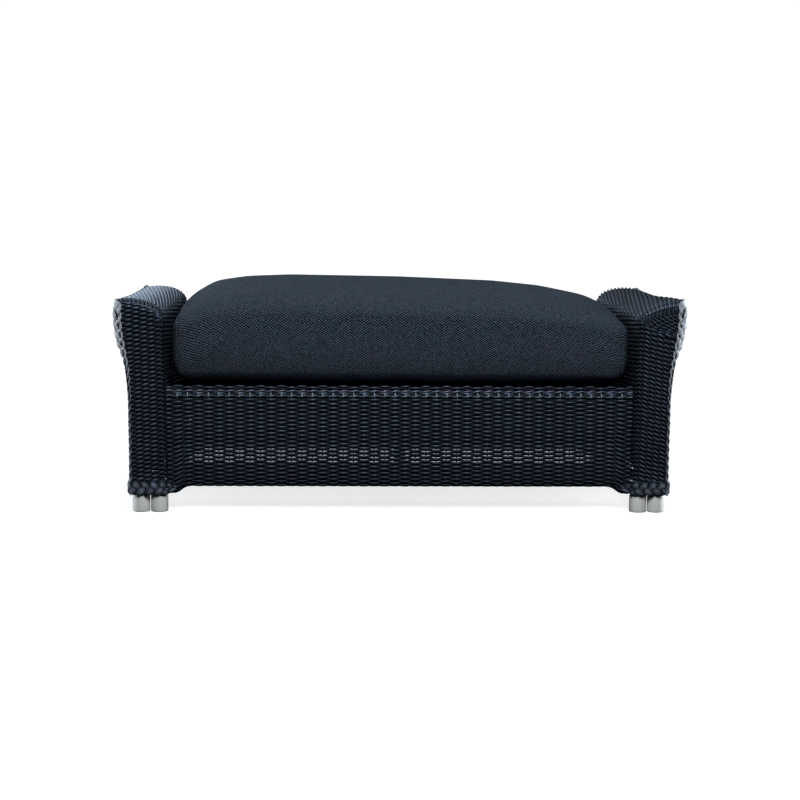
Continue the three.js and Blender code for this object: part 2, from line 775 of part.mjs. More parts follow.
addPiece("zip_chain", zipChain(), materials.zip);

// The slider wraps round the head of the rail, and carries a post for the pull.
const slider_x = zip_length / 2 - slider_park;
const slider_face_y = head_top_y + fit + slider_wall;
const post_top_y = slider_face_y + fit + pull_thickness + fit;

function slider() {
  const half_hole = zip_head.width / 2 + fit;
  const half_outer = half_hole + slider_wall;
  const half_mouth = zip_root.width / 2 + fit;
  const flange_y = head_y - fit;
  const flange_low_y = flange_y - slider_flange;
  const side = [
    [slider_face_y, half_outer],
    [flange_low_y, half_outer],
    [flange_low_y, half_mouth],
    [flange_y, half_mouth],
    [flange_y, half_hole],
    [head_top_y + fit, half_hole],
  ];
  const upper = side.map(([y, z]) => new THREE.Vector2(y, zip_height + z));
  const lower = side.map(([y, z]) => new THREE.Vector2(y, zip_height - z)).reverse();
  const shape = new THREE.Shape([...upper, ...lower]);
  const body = solidOf(prismAlongX(shape, slider_x - slider_length / 2, slider_x + slider_length / 2));
  const profile = [
    [0, slider_face_y - slider_wall / 2],
    [post_radius, slider_face_y - slider_wall / 2],
    [post_radius, post_top_y],
    [post_head_radius, post_top_y],
    [post_head_radius, post_top_y + post_head],
    [0, post_top_y + post_head],
  ];
  const points = profile.map(([x, y]) => new THREE.Vector2(x, y));
  const post = new THREE.LatheGeometry(points, foot_sides).translate(slider_x, 0, zip_height);
  return geometryOf(body.add(solidOf(post)));
}

addPiece("zip_slider", slider(), materials.zip);

// The pull hangs on the slider's post.
function pull() {
  const half = pull_width / 2;
  const shape = new THREE.Shape();
  shape.absarc(slider_x, zip_height, half, 0, Math.PI, false);
  shape.absarc(slider_x, zip_height - pull_length + pull_width, half, Math.PI, 2 * Math.PI, false);
  const hole = new THREE.Path();
  hole.absarc(slider_x, zip_height, post_radius + fit, 0, 2 * Math.PI, true);
  shape.holes.push(hole);
  const low_y = slider_face_y + fit;
  return prismAlongY(shape, low_y, low_y + pull_thickness);
}

addPiece("zip_pull", pull(), materials.zip);

export default ottoman;
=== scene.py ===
# %% [markdown]
# # A woven ottoman for the patio
#
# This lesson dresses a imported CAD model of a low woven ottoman. The CAD has every piece of the
# real thing as a plain solid: tube frame, woven skins, plaits, deck straps, cushion and zip. Here
# each visible piece gets the form and the finish that the eye expects. The skins become strands
# that pass over and under upright stakes, the bands become plaits, and the cushion is blown up as
# cloth. All lengths are in metres, +Z is up, and the front looks towards -Y.

import math

import bpy
import numpy as np
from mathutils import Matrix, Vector


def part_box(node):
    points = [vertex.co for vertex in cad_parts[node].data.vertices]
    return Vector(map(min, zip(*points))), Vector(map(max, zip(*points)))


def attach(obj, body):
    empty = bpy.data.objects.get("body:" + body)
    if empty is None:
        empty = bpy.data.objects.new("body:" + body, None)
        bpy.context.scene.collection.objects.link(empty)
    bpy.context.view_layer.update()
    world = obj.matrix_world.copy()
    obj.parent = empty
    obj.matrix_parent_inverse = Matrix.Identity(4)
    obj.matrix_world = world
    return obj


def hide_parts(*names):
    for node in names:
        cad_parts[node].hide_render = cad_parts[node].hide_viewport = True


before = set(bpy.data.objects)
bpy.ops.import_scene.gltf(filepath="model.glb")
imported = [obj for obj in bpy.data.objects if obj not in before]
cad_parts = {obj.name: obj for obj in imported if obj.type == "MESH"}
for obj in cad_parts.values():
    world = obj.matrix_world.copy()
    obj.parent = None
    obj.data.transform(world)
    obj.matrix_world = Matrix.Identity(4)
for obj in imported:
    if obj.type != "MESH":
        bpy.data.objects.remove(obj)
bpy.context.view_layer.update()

# %% [markdown]
# ## Camera
#
# The picture was taken from a little left of the middle, from just above the height of the knee,
# with a short telephoto lens. The camera looks slightly down and is rolled by less than half a
# degree, so that the lower edge of the apron runs level.

# %% Camera
VIEW_DISTANCE = 3.871
VIEW_HEIGHT = 0.640
VIEW_TURN = math.radians(1.85)
VIEW_TILT = math.radians(6.70)
VIEW_ROLL = math.radians(-0.41)
LENS, SENSOR = 83.8, 36
VIEW_SHIFT = 0.0034
FAR_CLIP = 60

bpy.ops.object.camera_add(
    location=(-VIEW_DISTANCE * math.sin(VIEW_TURN), -VIEW_DISTANCE * math.cos(VIEW_TURN), VIEW_HEIGHT),
    rotation=(math.pi / 2 - VIEW_TILT, VIEW_ROLL, -VIEW_TURN),
)
camera = bpy.context.object
camera.data.lens = LENS
camera.data.sensor_width = SENSOR
camera.data.shift_x = VIEW_SHIFT
camera.data.clip_end = FAR_CLIP
bpy.context.scene.camera = camera

# %% [markdown]
# ## Node helpers
#
# Floor, world and finishes are all node trees. These few functions place a node, set its values
# and link it in one line.

# %% Node helpers
def link(tree, source, target):
    tree.links.new(source, target)


def feed(tree, socket, value):
    """Gives a socket a number, a vector or another socket's output."""
    if isinstance(value, (int, float, tuple)):
        socket.default_value = value
    else:
        link(tree, value, socket)


def math_node(tree, operation, first, second=None, clamp=False):
    made = tree.nodes.new("ShaderNodeMath")
    made.operation = operation
    made.use_clamp = clamp
    feed(tree, made.inputs[0], first)
    if second is not None:
        feed(tree, made.inputs[1], second)
    return made.outputs[0]


def times(tree, first, second, clamp=False):
    return math_node(tree, "MULTIPLY", first, second, clamp)


def plus(tree, first, second, clamp=False):
    return math_node(tree, "ADD", first, second, clamp)


def minus(tree, first, second):
    return math_node(tree, "SUBTRACT", first, second)


def vector_node(tree, operation, *values):
    made = tree.nodes.new("ShaderNodeVectorMath")
    made.operation = operation
    for socket, value in zip(made.inputs, values):
        feed(tree, socket, value)
    return made.outputs["Value" if operation in ("LENGTH", "DOT_PRODUCT") else "Vector"]


def ramp(tree, value, lows, highs, eased=True):
    """Carries a value from one range to another; lows and highs are (from, to)."""
    made = tree.nodes.new("ShaderNodeMapRange")
    made.interpolation_type = "SMOOTHSTEP" if eased else "LINEAR"
    for socket, number in zip(("From Min", "From Max", "To Min", "To Max"), (*lows, *highs)):
        made.inputs[socket].default_value = number
    link(tree, value, made.inputs["Value"])
    return made.outputs["Result"]


def noise(tree, vector, scale, detail=2.0, output="Fac"):
    made = tree.nodes.new("ShaderNodeTexNoise")
    feed(tree, made.inputs["Scale"], scale)
    made.inputs["Detail"].default_value = detail
    link(tree, vector, made.inputs["Vector"])
    return made.outputs[output]


def blend_colours(tree, factor, low, high):
    made = tree.nodes.new("ShaderNodeMix")
    made.data_type = "RGBA"
    link(tree, factor, made.inputs["Factor"])
    for socket, colour in (("A", low), ("B", high)):
        feed(tree, made.inputs[socket], (*colour, 1) if isinstance(colour, tuple) else colour)
    return made.outputs["Result"]


def read(tree, kind, name):
    """An attribute of the mesh, or one of its UV maps."""
    if kind == "uv":
        made = tree.nodes.new("ShaderNodeUVMap")
        made.uv_map = name
        return made.outputs["UV"]
    made = tree.nodes.new("ShaderNodeAttribute")
    made.attribute_name = name
    return made.outputs["Fac"]


def own_place(tree):
    return tree.nodes.new("ShaderNodeTexCoord").outputs["Object"]


def split(tree, vector):
    made = tree.nodes.new("ShaderNodeSeparateXYZ")
    link(tree, vector, made.inputs["Vector"])
    return made.outputs


def bump(tree, surface, height, strength, distance):
    made = tree.nodes.new("ShaderNodeBump")
    made.inputs["Strength"].default_value = strength
    made.inputs["Distance"].default_value = distance
    link(tree, height, made.inputs["Height"])
    link(tree, made.outputs["Normal"], surface.inputs["Normal"])


def start_material(name, roughness, specular=0.5):
    made = bpy.data.materials.new(name)
    made.use_nodes = True
    surface = made.node_tree.nodes["Principled BSDF"]
    surface.inputs["Roughness"].default_value = roughness
    surface.inputs["Specular IOR Level"].default_value = specular
    return made, made.node_tree, surface


def srgb(*values):
    """A colour given in the 0 to 255 steps of a picture, as linear light."""
    shares = [value / 255 for value in values]
    return tuple(v / 12.92 if v <= 0.04045 else ((v + 0.055) / 1.055) ** 2.4 for v in shares)


# %% [markdown]
# ## Floor and light
#
# A studio shot on white needs a floor that fades into the background. The floor glows a little by
# itself, more with the distance, and is hidden from diffuse and glossy rays, so that the weave
# stays dark. The sky gives light only above the horizon and mostly from behind on the left, which
# draws the pale lines on the arms' tops; to the camera it is plain white.

# %% Floor
FLOOR_REACH = 40
FLOOR_GREY = (0.50, 0.50, 0.50)
GLOW_FROM, GLOW_TO = 0.9, 3.5
NEAR_GLOW, FAR_GLOW = 0.76, 1.0

bpy.ops.mesh.primitive_plane_add(size=FLOOR_REACH)
floor = bpy.context.object
floor.name = "studio_floor"
floor_finish, tree, surface = start_material("studio_floor", 0.9)
surface.inputs["Base Color"].default_value = (*FLOOR_GREY, 1)
away = vector_node(tree, "LENGTH", own_place(tree))
glow = ramp(tree, away, (GLOW_FROM, GLOW_TO), (NEAR_GLOW, FAR_GLOW), eased=False)
link(tree, glow, surface.inputs["Emission Color"])
surface.inputs["Emission Strength"].default_value = 1
floor.data.materials.append(floor_finish)
floor.visible_diffuse = False
floor.visible_glossy = False
print("the floor is", FLOOR_REACH, "m wide")

# %% Sky
AMBIENT, BACKDROP = 0.04, 0.15
BACKDROP_WAY = (-0.50, 0.85, 0.15)
SEEN_WHITE = 1.05
LIGHT_TINT, BLUE_TINT = (0.88, 0.94, 1.0), (0.62, 0.80, 1.0)

world = bpy.data.worlds.new("studio")
bpy.context.scene.world = world
world.use_nodes = True
tree = world.node_tree
backdrop = tree.nodes["Background"]
backdrop.inputs["Color"].default_value = (1, 1, 1, 1)
direction = tree.nodes.new("ShaderNodeTexCoord").outputs["Generated"]
behind = ramp(tree, vector_node(tree, "DOT_PRODUCT", direction, BACKDROP_WAY), (0.35, 1), (AMBIENT, BACKDROP))
above = ramp(tree, split(tree, direction)["Z"], (-0.02, 0.30), (0, 1))
strength = tree.nodes.new("ShaderNodeMix")
link(tree, tree.nodes.new("ShaderNodeLightPath").outputs["Is Camera Ray"], strength.inputs["Factor"])
link(tree, times(tree, behind, above), strength.inputs["A"])
strength.inputs["B"].default_value = SEEN_WHITE
link(tree, strength.outputs["Result"], backdrop.inputs["Strength"])
bpy.context.scene.view_settings.view_transform = "Standard"
bpy.context.scene.view_settings.look = "None"

# %% [markdown]
# One broad sun lights the tops, and a soft box in front fills in. The soft boxes at the sides light
# the plaits; the right one is stronger, because the plait on the right arm is the brightest part
# of the picture. The two boxes behind are blue, for the blue sheen on the left arm's top.

# %% Lights
def soft_light(name, place, target, size, power, tint=LIGHT_TINT):
    """A square soft box that looks at a point."""
    towards = Vector(target) - Vector(place)
    bpy.ops.object.light_add(type="AREA", location=place, rotation=towards.to_track_quat("-Z", "Y").to_euler())
    light = bpy.context.object
    light.name = name
    light.data.size = size
    light.data.energy = power
    light.data.color = tint
    light.visible_camera = False


bpy.ops.object.light_add(type="SUN", rotation=(math.radians(-14), 0, 0))
overhead = bpy.context.object
overhead.name = "light_above"
overhead.data.energy = 0.55
overhead.data.color = LIGHT_TINT
overhead.data.angle = math.radians(70)
RIGHT_PLAIT, LEFT_PLAIT = (0.5, -0.2, 0.3), (-0.5, -0.2, 0.3)
soft_light("light_front", (0.1, -2.3, 2.3), (0, 0, 0.25), 1.3, 72)
soft_light("light_right_rim", (2.5, 0.35, 0.30), RIGHT_PLAIT, 0.5, 60)
soft_light("light_left_rim", (-2.5, 0.35, 0.30), LEFT_PLAIT, 0.5, 34)
soft_light("light_left_top", (-1.7, 2.1, 2.1), (-0.50, 0, 0.40), 1.0, 20, BLUE_TINT)
soft_light("light_low_back", (-1.6, 4.2, 1.15), (-0.45, 0, 0.40), 1.8, 17, BLUE_TINT)

# %% [markdown]
# ## Small tools
#
# A strand of resin wicker is an oval tube that follows a line of points. Hundreds of them lie in
# each panel, each on its own curved way, so they are made straight from arrays of points: there is
# no primitive for a woven surface, and a modifier could not follow the rows as they fan out.

# %% Strands
SIDES = 6
RISE_X, RISE_Y, RISE_Z = (0.47, 0.545), (-0.05, 0.29), (0.30, 0.39)


def unit(vectors):
    return vectors / np.maximum(np.linalg.norm(vectors, axis=-1, keepdims=True), 1e-12)


def smooth(low, high, value):
    share = np.clip((value - low) / (high - low), 0, 1)
    return share * share * (3 - 2 * share)


def ease(first, last, low, high, value):
    """Goes softly from first to last while value goes from low to high."""
    return first + (last - first) * smooth(low, high, value)


def run_along(line):
    """Distance from the start of a line at each of its points."""
    return np.concatenate([[0], np.cumsum(np.linalg.norm(np.diff(line, axis=0), axis=1))])


class Bundle:
    """Collects strands and turns them into one mesh."""

    def __init__(self, seed):
        self.random = np.random.default_rng(seed)
        self.points, self.faces, self.uvs, self.tones, self.crests = [], [], [], [], []
        self.count = 0

    def add(self, line, normals, width, thick, keep=slice(None), sides=SIDES, tone=None, crest=1.0):
        """One oval strand along a line of points, closed at both ends.

        normals point out of the weave, keep picks points of the line, and crest is 1 where the strand lies on
        top and lower where its finish paints shade.
        """
        line = np.asarray(line, float)
        normals = np.broadcast_to(normals, line.shape)[keep]
        width, thick, crest = (np.broadcast_to(value, len(line))[keep] for value in (width, thick, crest))
        line = line[keep]
        rings = len(line)
        if rings < 3:
            return
        along = unit(np.gradient(line, axis=0))
        across = unit(np.cross(along, normals))
        outward = np.cross(across, along)
        turn = 2 * np.pi * np.arange(sides) / sides
        ring = across[:, None] * np.cos(turn)[:, None] * (width / 2)[:, None, None]
        ring = ring + outward[:, None] * np.sin(turn)[:, None] * (thick / 2)[:, None, None]
        self.points.append((line[:, None] + ring).reshape(-1, 3))
        ring_number, place = np.divmod(np.arange((rings - 1) * sides), sides)
        rows = np.stack([ring_number, ring_number + 1, ring_number + 1, ring_number], -1)
        places = np.stack([place, place, place + 1, place + 1], -1)
        self.faces.append(self.count + rows * sides + places % sides)
        self.uvs.append(np.stack([run_along(line)[rows], places / sides], -1).reshape(-1, 2))
        start = self.count + np.arange(sides)
        self.faces.append([start, (start + (rings - 1) * sides)[::-1]])
        self.uvs.append(np.zeros((2 * sides, 2)))
        shade = self.random.random() if tone is None else tone
        self.tones.append(np.full(rings * sides, shade))
        self.crests.append(crest.repeat(sides))
        self.count += rings * sides

    def piece(self, name, material, rise=0.0):
        """One mesh of all the strands; rise lifts an arm's lip towards the front."""
        faces = [face for group in self.faces for face in group]
        starts = np.cumsum([0] + [len(face) for face in faces[:-1]])
        corners = np.concatenate(faces).astype(np.int32)
        mesh = bpy.data.meshes.new(name)
        points = np.concatenate(self.points)
        x, y, z = points.T
        points[:, 2] = z + rise * smooth(*RISE_X, x) * smooth(*RISE_Y, -y) * smooth(*RISE_Z, z)
        mesh.vertices.add(len(points))
        mesh.vertices.foreach_set("co", points.astype(np.float32).ravel())
        mesh.loops.add(len(corners))
        mesh.loops.foreach_set("vertex_index", corners)
        mesh.polygons.add(len(faces))
        mesh.polygons.foreach_set("loop_start", starts.astype(np.int32))
        mesh.uv_layers.new(name="strand")
        mesh.uv_layers["strand"].data.foreach_set("uv", np.concatenate(self.uvs).astype(np.float32).ravel())
        for attribute, values in (("tone", self.tones), ("crest", self.crests)):
            layer = mesh.attributes.new(attribute, "FLOAT", "POINT")
            layer.data.foreach_set("value", np.concatenate(values).astype(np.float32))
        mesh.update(calc_edges=True)
        mesh.polygons.foreach_set("use_smooth", np.ones(len(faces), bool))
        mesh.materials.append(material)
        made = bpy.data.objects.new(name, mesh)
        bpy.context.scene.collection.objects.link(made)
        triangles = sum(len(face) - 2 for face in faces)
        print(name, triangles, "triangles")
        return made


# %% Reading and dressing a mesh
def values_of(members, name, width=1, kind=np.float32):
    """One property of all members of a mesh's collection, as an array."""
    values = np.empty(len(members) * width, kind)
    members.foreach_get(name, values)
    return values.reshape(-1, width) if width > 1 else values


def vertices_of(piece):
    return values_of(piece.data.vertices, "co", 3).astype(float)


def move_vertices(piece, points):
    piece.data.vertices.foreach_set("co", points.astype(np.float32).ravel())
    piece.data.update()


def dress(piece, body, slot, *replaced):
    """Fastens a piece to its body and hides the solids that it stands for."""
    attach(piece, body)
    if replaced:
        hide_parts(*replaced)


# %% [markdown]
# ## Finishes
#
# Each finish of a strand is a Principled surface round one shared node group. The group reads what
# each strand carries: "tone" is its own shade of colour, and "crest" is 1 where it lies over a stake
# and 0 where it dives under one. The finish paints shade from crest: a strand is painted near black
# where crest is low, and the weave lowers crest for painted shade near edges, on inner faces and low
# down. Weave is dark and plaits are lighter; the edge plait's pale finish is painted side light.

# %% Resin strand
def strand_group():
    """Tone from strand to strand with cloudy patches, a grain along each strand, and its crests."""
    tree = bpy.data.node_groups.new("strand_grain", "ShaderNodeTree")
    scale = tree.interface.new_socket("Grain Scale", in_out="INPUT", socket_type="NodeSocketFloat")
    scale.default_value = 900.0
    for socket in ("Tone", "Grain", "Crest"):
        tree.interface.new_socket(socket, in_out="OUTPUT", socket_type="NodeSocketFloat")
    given, out = tree.nodes.new("NodeGroupInput"), tree.nodes.new("NodeGroupOutput")
    own_tone = times(tree, read(tree, "value", "tone"), 0.6)
    patches = times(tree, noise(tree, own_place(tree), 14.0), 0.4)
    link(tree, plus(tree, own_tone, patches, clamp=True), out.inputs["Tone"])
    drawn = vector_node(tree, "MULTIPLY", read(tree, "uv", "strand"), (0.06, 0.009, 1.0))
    link(tree, noise(tree, drawn, given.outputs["Grain Scale"]), out.inputs["Grain"])
    link(tree, read(tree, "value", "crest"), out.inputs["Crest"])
    return tree


STRAND_GRAIN = strand_group()
VALLEY_SHADE_SHARE = 0.06
GRAIN_ROUGHNESS, CREST_GLOSS, VALLEY_ROUGHNESS = 0.24, 0.30, 0.18


def resin(name, dark, light, roughness, specular=0.5):
    """Satin resin: a strand shines in its own tone on its crests, and its valleys are painted near black as
    shade.
    """
    made, tree, surface = start_material(name, roughness, specular)
    surface.inputs["Specular Tint"].default_value = (0.70, 0.82, 1.0, 1)
    group = tree.nodes.new("ShaderNodeGroup")
    group.node_tree = STRAND_GRAIN
    tone, grain, crest = (group.outputs[part] for part in ("Tone", "Grain", "Crest"))
    # Painted shade: the colour of the valleys is the dark tone scaled nearly to black.
    valley = tuple(VALLEY_SHADE_SHARE * value for value in dark)
    colour = blend_colours(tree, crest, valley, blend_colours(tree, tone, dark, light))
    link(tree, colour, surface.inputs["Base Color"])
    rough = times(tree, grain, GRAIN_ROUGHNESS)
    rough = minus(tree, rough, times(tree, crest, CREST_GLOSS))
    link(tree, plus(tree, rough, roughness + VALLEY_ROUGHNESS), surface.inputs["Roughness"])
    bump(tree, surface, grain, 0.25, 0.0002)
    return made


weave_finish = resin("resin_strand", (0.022, 0.030, 0.048), (0.064, 0.082, 0.120), 0.32, 0.5)
plait_finish = resin("resin_plait", (0.030, 0.040, 0.062), (0.290, 0.330, 0.410), 0.34, 0.6)
# The edge plait's pale colours are painted side light.
edge_light_finish = resin("resin_edge_plait_painted_light", (0.440, 0.462, 0.495), (0.800, 0.820, 0.850), 0.42, 0.5)
# The border's light colours paint glints on the stakes' loops; the twine keeps its dark end.
border_and_glint_finish = resin("resin_border_and_glint", (0.030, 0.040, 0.060), (0.300, 0.350, 0.430), 0.26, 0.7)

# %% [markdown]
# ## The apron
#
# The apron is a sheet of weave that comes from under its lower rail, runs straight up, and folds
# back over the seat rail. Rows lie 4.1 mm apart and pass in front of one stake and behind the
# next, with four points from stake to stake, and swell a little where they are on top. Two rows
# at the top are twined as pairs, and each stake is looped over them. Each point of the sheet is
# found from its place across (x), its place up the sheet (v) and its height off the sheet's middle
# (h). The rows under the hem are flatter and wider, so that the edge is closed.

# %% The sheet of the apron
ROW_PITCH = 0.0041
STAKE_PITCH = 0.0201
STEPS = 4
STRAND_WIDTH = 0.0042
SWELL = 0.14
STRAND_THICK = 0.0020
WAVE = 0.0021
STAKE_WIDTH = 0.0030
STAKE_THICK = 0.0012
STAKE_DEPTH = -0.0004

INNER_X = 0.449
APRON_FACE = 0.2779
HEM_Y, HEM_Z = 0.2649, 0.0603
SEAT_RAIL_Y, SEAT_RAIL_Z = 0.2609, 0.2260
HEM_RADIUS = APRON_FACE - HEM_Y
FOLD_RADIUS = APRON_FACE - SEAT_RAIL_Y
FLAT = SEAT_RAIL_Z - HEM_Z
ARCH_DROP, ARCH_RUN, ARCH_START = 0.014, 0.032, 0.441
HEM_END, FOLD_END = -0.068, FLAT + 0.024
FOLDED, FOLD_WIDER = 0.006, 1.45
UNDER, UNDER_FLATTER = 0.011, 0.35
LOW_SHADE, LOW_REACH = 0.42, 0.045
TWINE_ROWS = (FLAT - 0.0010, FLAT + 0.0085)
TWINE_RISE, TWINE_SWING = 0.0013, 0.0018
TWINE_WIDTH, TWINE_THICK = 0.0036, 0.0024
LOOP_WIDTH, LOOP_THICK = 0.0026, 0.0018
LOOP_V = FLAT + np.array([-0.0045, -0.0030, -0.0010, 0.0020, 0.0040, 0.0055])
LOOP_HEIGHT = np.array([STAKE_DEPTH, 0.0012, 0.0030, 0.0030, 0.0014, STAKE_DEPTH])
BESIDE_TWINE = 0.0042


def arch(x):
    """How far the apron's lower edge comes down at x."""
    share = np.clip((ARCH_START - np.abs(x)) / ARCH_RUN, 0, 1)
    return ARCH_DROP * (1 + np.cos(np.pi * share)) / 2


def apron_point(x, v, h):
    """Points and normals of the front apron."""
    hem_z = HEM_Z - arch(x)
    v = np.broadcast_to(v, x.shape)
    low, high = v < 0, v > FLAT
    turned_up = np.maximum(-v - np.pi * HEM_RADIUS, 0)
    hem_turn = np.minimum(-v / HEM_RADIUS, np.pi)
    turn = np.where(low, hem_turn, np.where(high, (FLAT - v) / FOLD_RADIUS, 0)) + np.pi
    radius = np.where(low, HEM_RADIUS, FOLD_RADIUS) + h
    middle_y = np.where(low, -HEM_Y, -SEAT_RAIL_Y)
    middle_z = np.where(low, hem_z, SEAT_RAIL_Z)
    flat = ~(low | high)
    rise = np.clip(v / FLAT, 0, 1)
    y = np.where(flat, -APRON_FACE - h, middle_y + radius * np.cos(turn))
    z = np.where(flat, hem_z + rise * (SEAT_RAIL_Z - hem_z), middle_z + radius * np.sin(turn) + turned_up)
    normal = np.stack([np.zeros_like(x), np.cos(turn), np.sin(turn)], -1)
    return np.stack([x, y, z], -1), normal


def wave_form(phase):
    """Over one stake and under the next, with flat tops and steep crossings."""
    swing = np.cos(np.pi * phase)
    return swing * (1.3 - 0.3 * swing * swing)


def crest_of(height):
    """1 where a strand lies over a stake, and 0 from halfway down."""
    return np.clip(height / WAVE, 0, 1) ** 1.6


def inner_face(z):
    """Where an arm's inner face stands at a height."""
    return INNER_X + 0.007 * np.clip((z - 0.033) / 0.339, 0, 1)


# %% Weave the apron
def up_to_arms(x, v):
    """Shortens a row so that its ends touch the arms."""
    middle, _ = apron_point(x, v, 0 * x)
    limit = inner_face(middle[:, 2]) + 0.0010
    return np.clip(x, -limit, limit), np.abs(x) < limit + 0.9 * STAKE_PITCH / STEPS


def weave_apron(width):
    bundle, border = Bundle(3), Bundle(4)
    reach = INNER_X + 0.010
    count = int(np.ceil(reach / STAKE_PITCH * STEPS))
    phase = np.arange(-count, count + 1) / STEPS
    x_all = phase * STAKE_PITCH
    rows = np.arange(HEM_END, FOLD_END, ROW_PITCH)
    for number, v in enumerate(rows):
        if min(abs(v - twine) for twine in TWINE_ROWS) < BESIDE_TWINE:
            continue
        sign = 1 if number % 2 else -1
        height = WAVE * sign * wave_form(phase + 0.5)
        # Painted shade: crest, and so the rows' colour, is lowered towards the hem, where less light reaches.
        crest = crest_of(height) * (LOW_SHADE + (1 - LOW_SHADE) * np.clip(v / LOW_REACH, 0, 1))
        if v < -UNDER:
            height = height * UNDER_FLATTER
        drift = bundle.random.normal(0, 0.00012)
        x, keep = up_to_arms(x_all, v)
        points, normals = apron_point(x, v + drift, height)
        swollen = width * (1 + SWELL * height / WAVE) * (FOLD_WIDER if v < -FOLDED else 1)
        bundle.add(points, normals, swollen, STRAND_THICK, keep, crest=crest)
    for v in TWINE_ROWS:
        for sign in (1, -1):
            turn = np.pi * (phase + 0.5)
            x, keep = up_to_arms(x_all, v)
            level = v + sign * TWINE_RISE * np.sin(turn)
            points, normals = apron_point(x, level, sign * TWINE_SWING * np.cos(turn))
            # Painted shade where each twine strand turns behind the other.
            crest = np.clip(sign * np.cos(turn), 0, 1)
            border.add(points, normals, TWINE_WIDTH, TWINE_THICK, keep, tone=0.0, crest=crest)
    return bundle, border


def apron_stakes(bundle, border):
    """Upright stakes; each one shows for a moment where it is looped over the twined row, and each loop is
    painted light as a glint.
    """
    hem = np.linspace(HEM_END, 0, 15, endpoint=False)
    upright = np.linspace(0, FLAT, 11, endpoint=False)
    v = np.concatenate([hem, upright, np.linspace(FLAT, FOLD_END, 8)])
    last = int(INNER_X / STAKE_PITCH)
    for number in range(-last, last):
        x = np.full(len(v), (number + 0.5) * STAKE_PITCH)
        points, normals = apron_point(x, v, STAKE_DEPTH)
        # Painted shade: the stakes lie behind the rows and are painted near black by a low crest.
        bundle.add(points, normals, STAKE_WIDTH, STAKE_THICK, sides=4, tone=0.0, crest=0.2)
        points, normals = apron_point(x[: len(LOOP_V)], LOOP_V, LOOP_HEIGHT)
        # Painted glint: each loop takes the lightest tone of the border finish.
        border.add(points, normals, LOOP_WIDTH, LOOP_THICK, tone=1.0)


def mirror(piece, axis):
    """Turns a piece into its mirror image, with its faces turned to point outwards again."""
    points = vertices_of(piece)
    points[:, axis] *= -1
    move_vertices(piece, points)
    piece.data.flip_normals()


for end, width in (("front", STRAND_WIDTH), ("back", STRAND_WIDTH + 0.0006)):
    bundle, border = weave_apron(width)
    apron_stakes(bundle, border)
    for made, part, finish in ((bundle, "weave", weave_finish), (border, "border", border_and_glint_finish)):
        piece = made.piece(f"{end}_apron_{part}", finish)
        if end == "back":
            mirror(piece, 1)
        dress(piece, "frame", "weave", f"{end}_apron_panel")

# %% [markdown]
# ## The arms
#
# An arm is wrapped in one skin: its rows climb slowly as they go round it. They start at the
# outer edge of the front face, slope up to the inner edge, turn round it, and run along the inner
# face and the top to the back. Rows that run along the top come over its rounded front edge and
# fan out down the face. On the top every second row lies higher, which draws the ribs. The arm's
# outline is the same chain of curves as in the CAD, so a point of the skin is found from its
# place along that outline and its depth.

# %% The outline of an arm
ARM_REACH = 0.300
ARM_TOP, ARM_BASE = 0.408, 0.033
SHOULDER, LIP_DROP, FLARE_START = 0.372, 0.006, 0.120
OUTER_X, TOP_INNER_X, TOP_OUTER_X = 0.520, 0.456, 0.547
TOP_ROUND, INNER_ROUND = 0.018, 0.0072
MIDDLE = 0.0024
FLAT_REACH = ARM_REACH - TOP_ROUND


def bezier(t, *controls):
    """A curve of any degree through control values, at shares t."""
    values = [np.asarray(c, float) + 0 * t for c in controls]
    while len(values) > 1:
        values = [a + (b - a) * t for a, b in zip(values[:-1], values[1:])]
    return values[0]


def arm_outline(t, inner=0.0, outer=0.0, top=0.0):
    """x and z of the right arm's outline; t counts its five stretches from the inner foot."""
    t = np.asarray(t, float)
    low_x, high_x = INNER_X + inner, TOP_INNER_X + inner
    lip_x, foot_x = TOP_OUTER_X - outer, OUTER_X - outer
    top_z = ARM_TOP - top
    rise = top_z - SHOULDER
    crest_x = high_x + 0.66 * (lip_x - high_x)
    lip_z = top_z - LIP_DROP
    lean, fall = foot_x - lip_x, lip_z - FLARE_START
    part = [np.clip(t - i, 0, 1) for i in range(5)]
    x = [
        low_x + (high_x - low_x) * part[0],
        bezier(part[1], high_x, high_x, high_x + 0.35 * (crest_x - high_x), crest_x),
        bezier(part[2], crest_x, lip_x, lip_x),
        bezier(part[3], lip_x, lip_x + 0.3 * lean, foot_x, foot_x),
        foot_x + 0 * t,
    ]
    z = [
        ARM_BASE + (SHOULDER - ARM_BASE) * part[0],
        bezier(part[1], SHOULDER, SHOULDER + 0.53 * rise, top_z, top_z),
        bezier(part[2], top_z, top_z, lip_z),
        bezier(part[3], lip_z, lip_z - 0.19 * fall, FLARE_START + 0.52 * fall, FLARE_START),
        FLARE_START + (ARM_BASE - FLARE_START) * part[4],
    ]
    which = np.clip(t.astype(int), 0, 4)
    return np.choose(which, x), np.choose(which, z)


TABLE_T = np.linspace(0, 5, 2001)
TABLE_X, TABLE_Z = arm_outline(TABLE_T)
TABLE_S = run_along(np.stack([TABLE_X, TABLE_Z], -1))
S_SHOULDER, S_LIP, S_END = np.interp([1, 3, 5], TABLE_T, TABLE_S)
print("round an arm's outline it is", round(S_END, 3), "m")


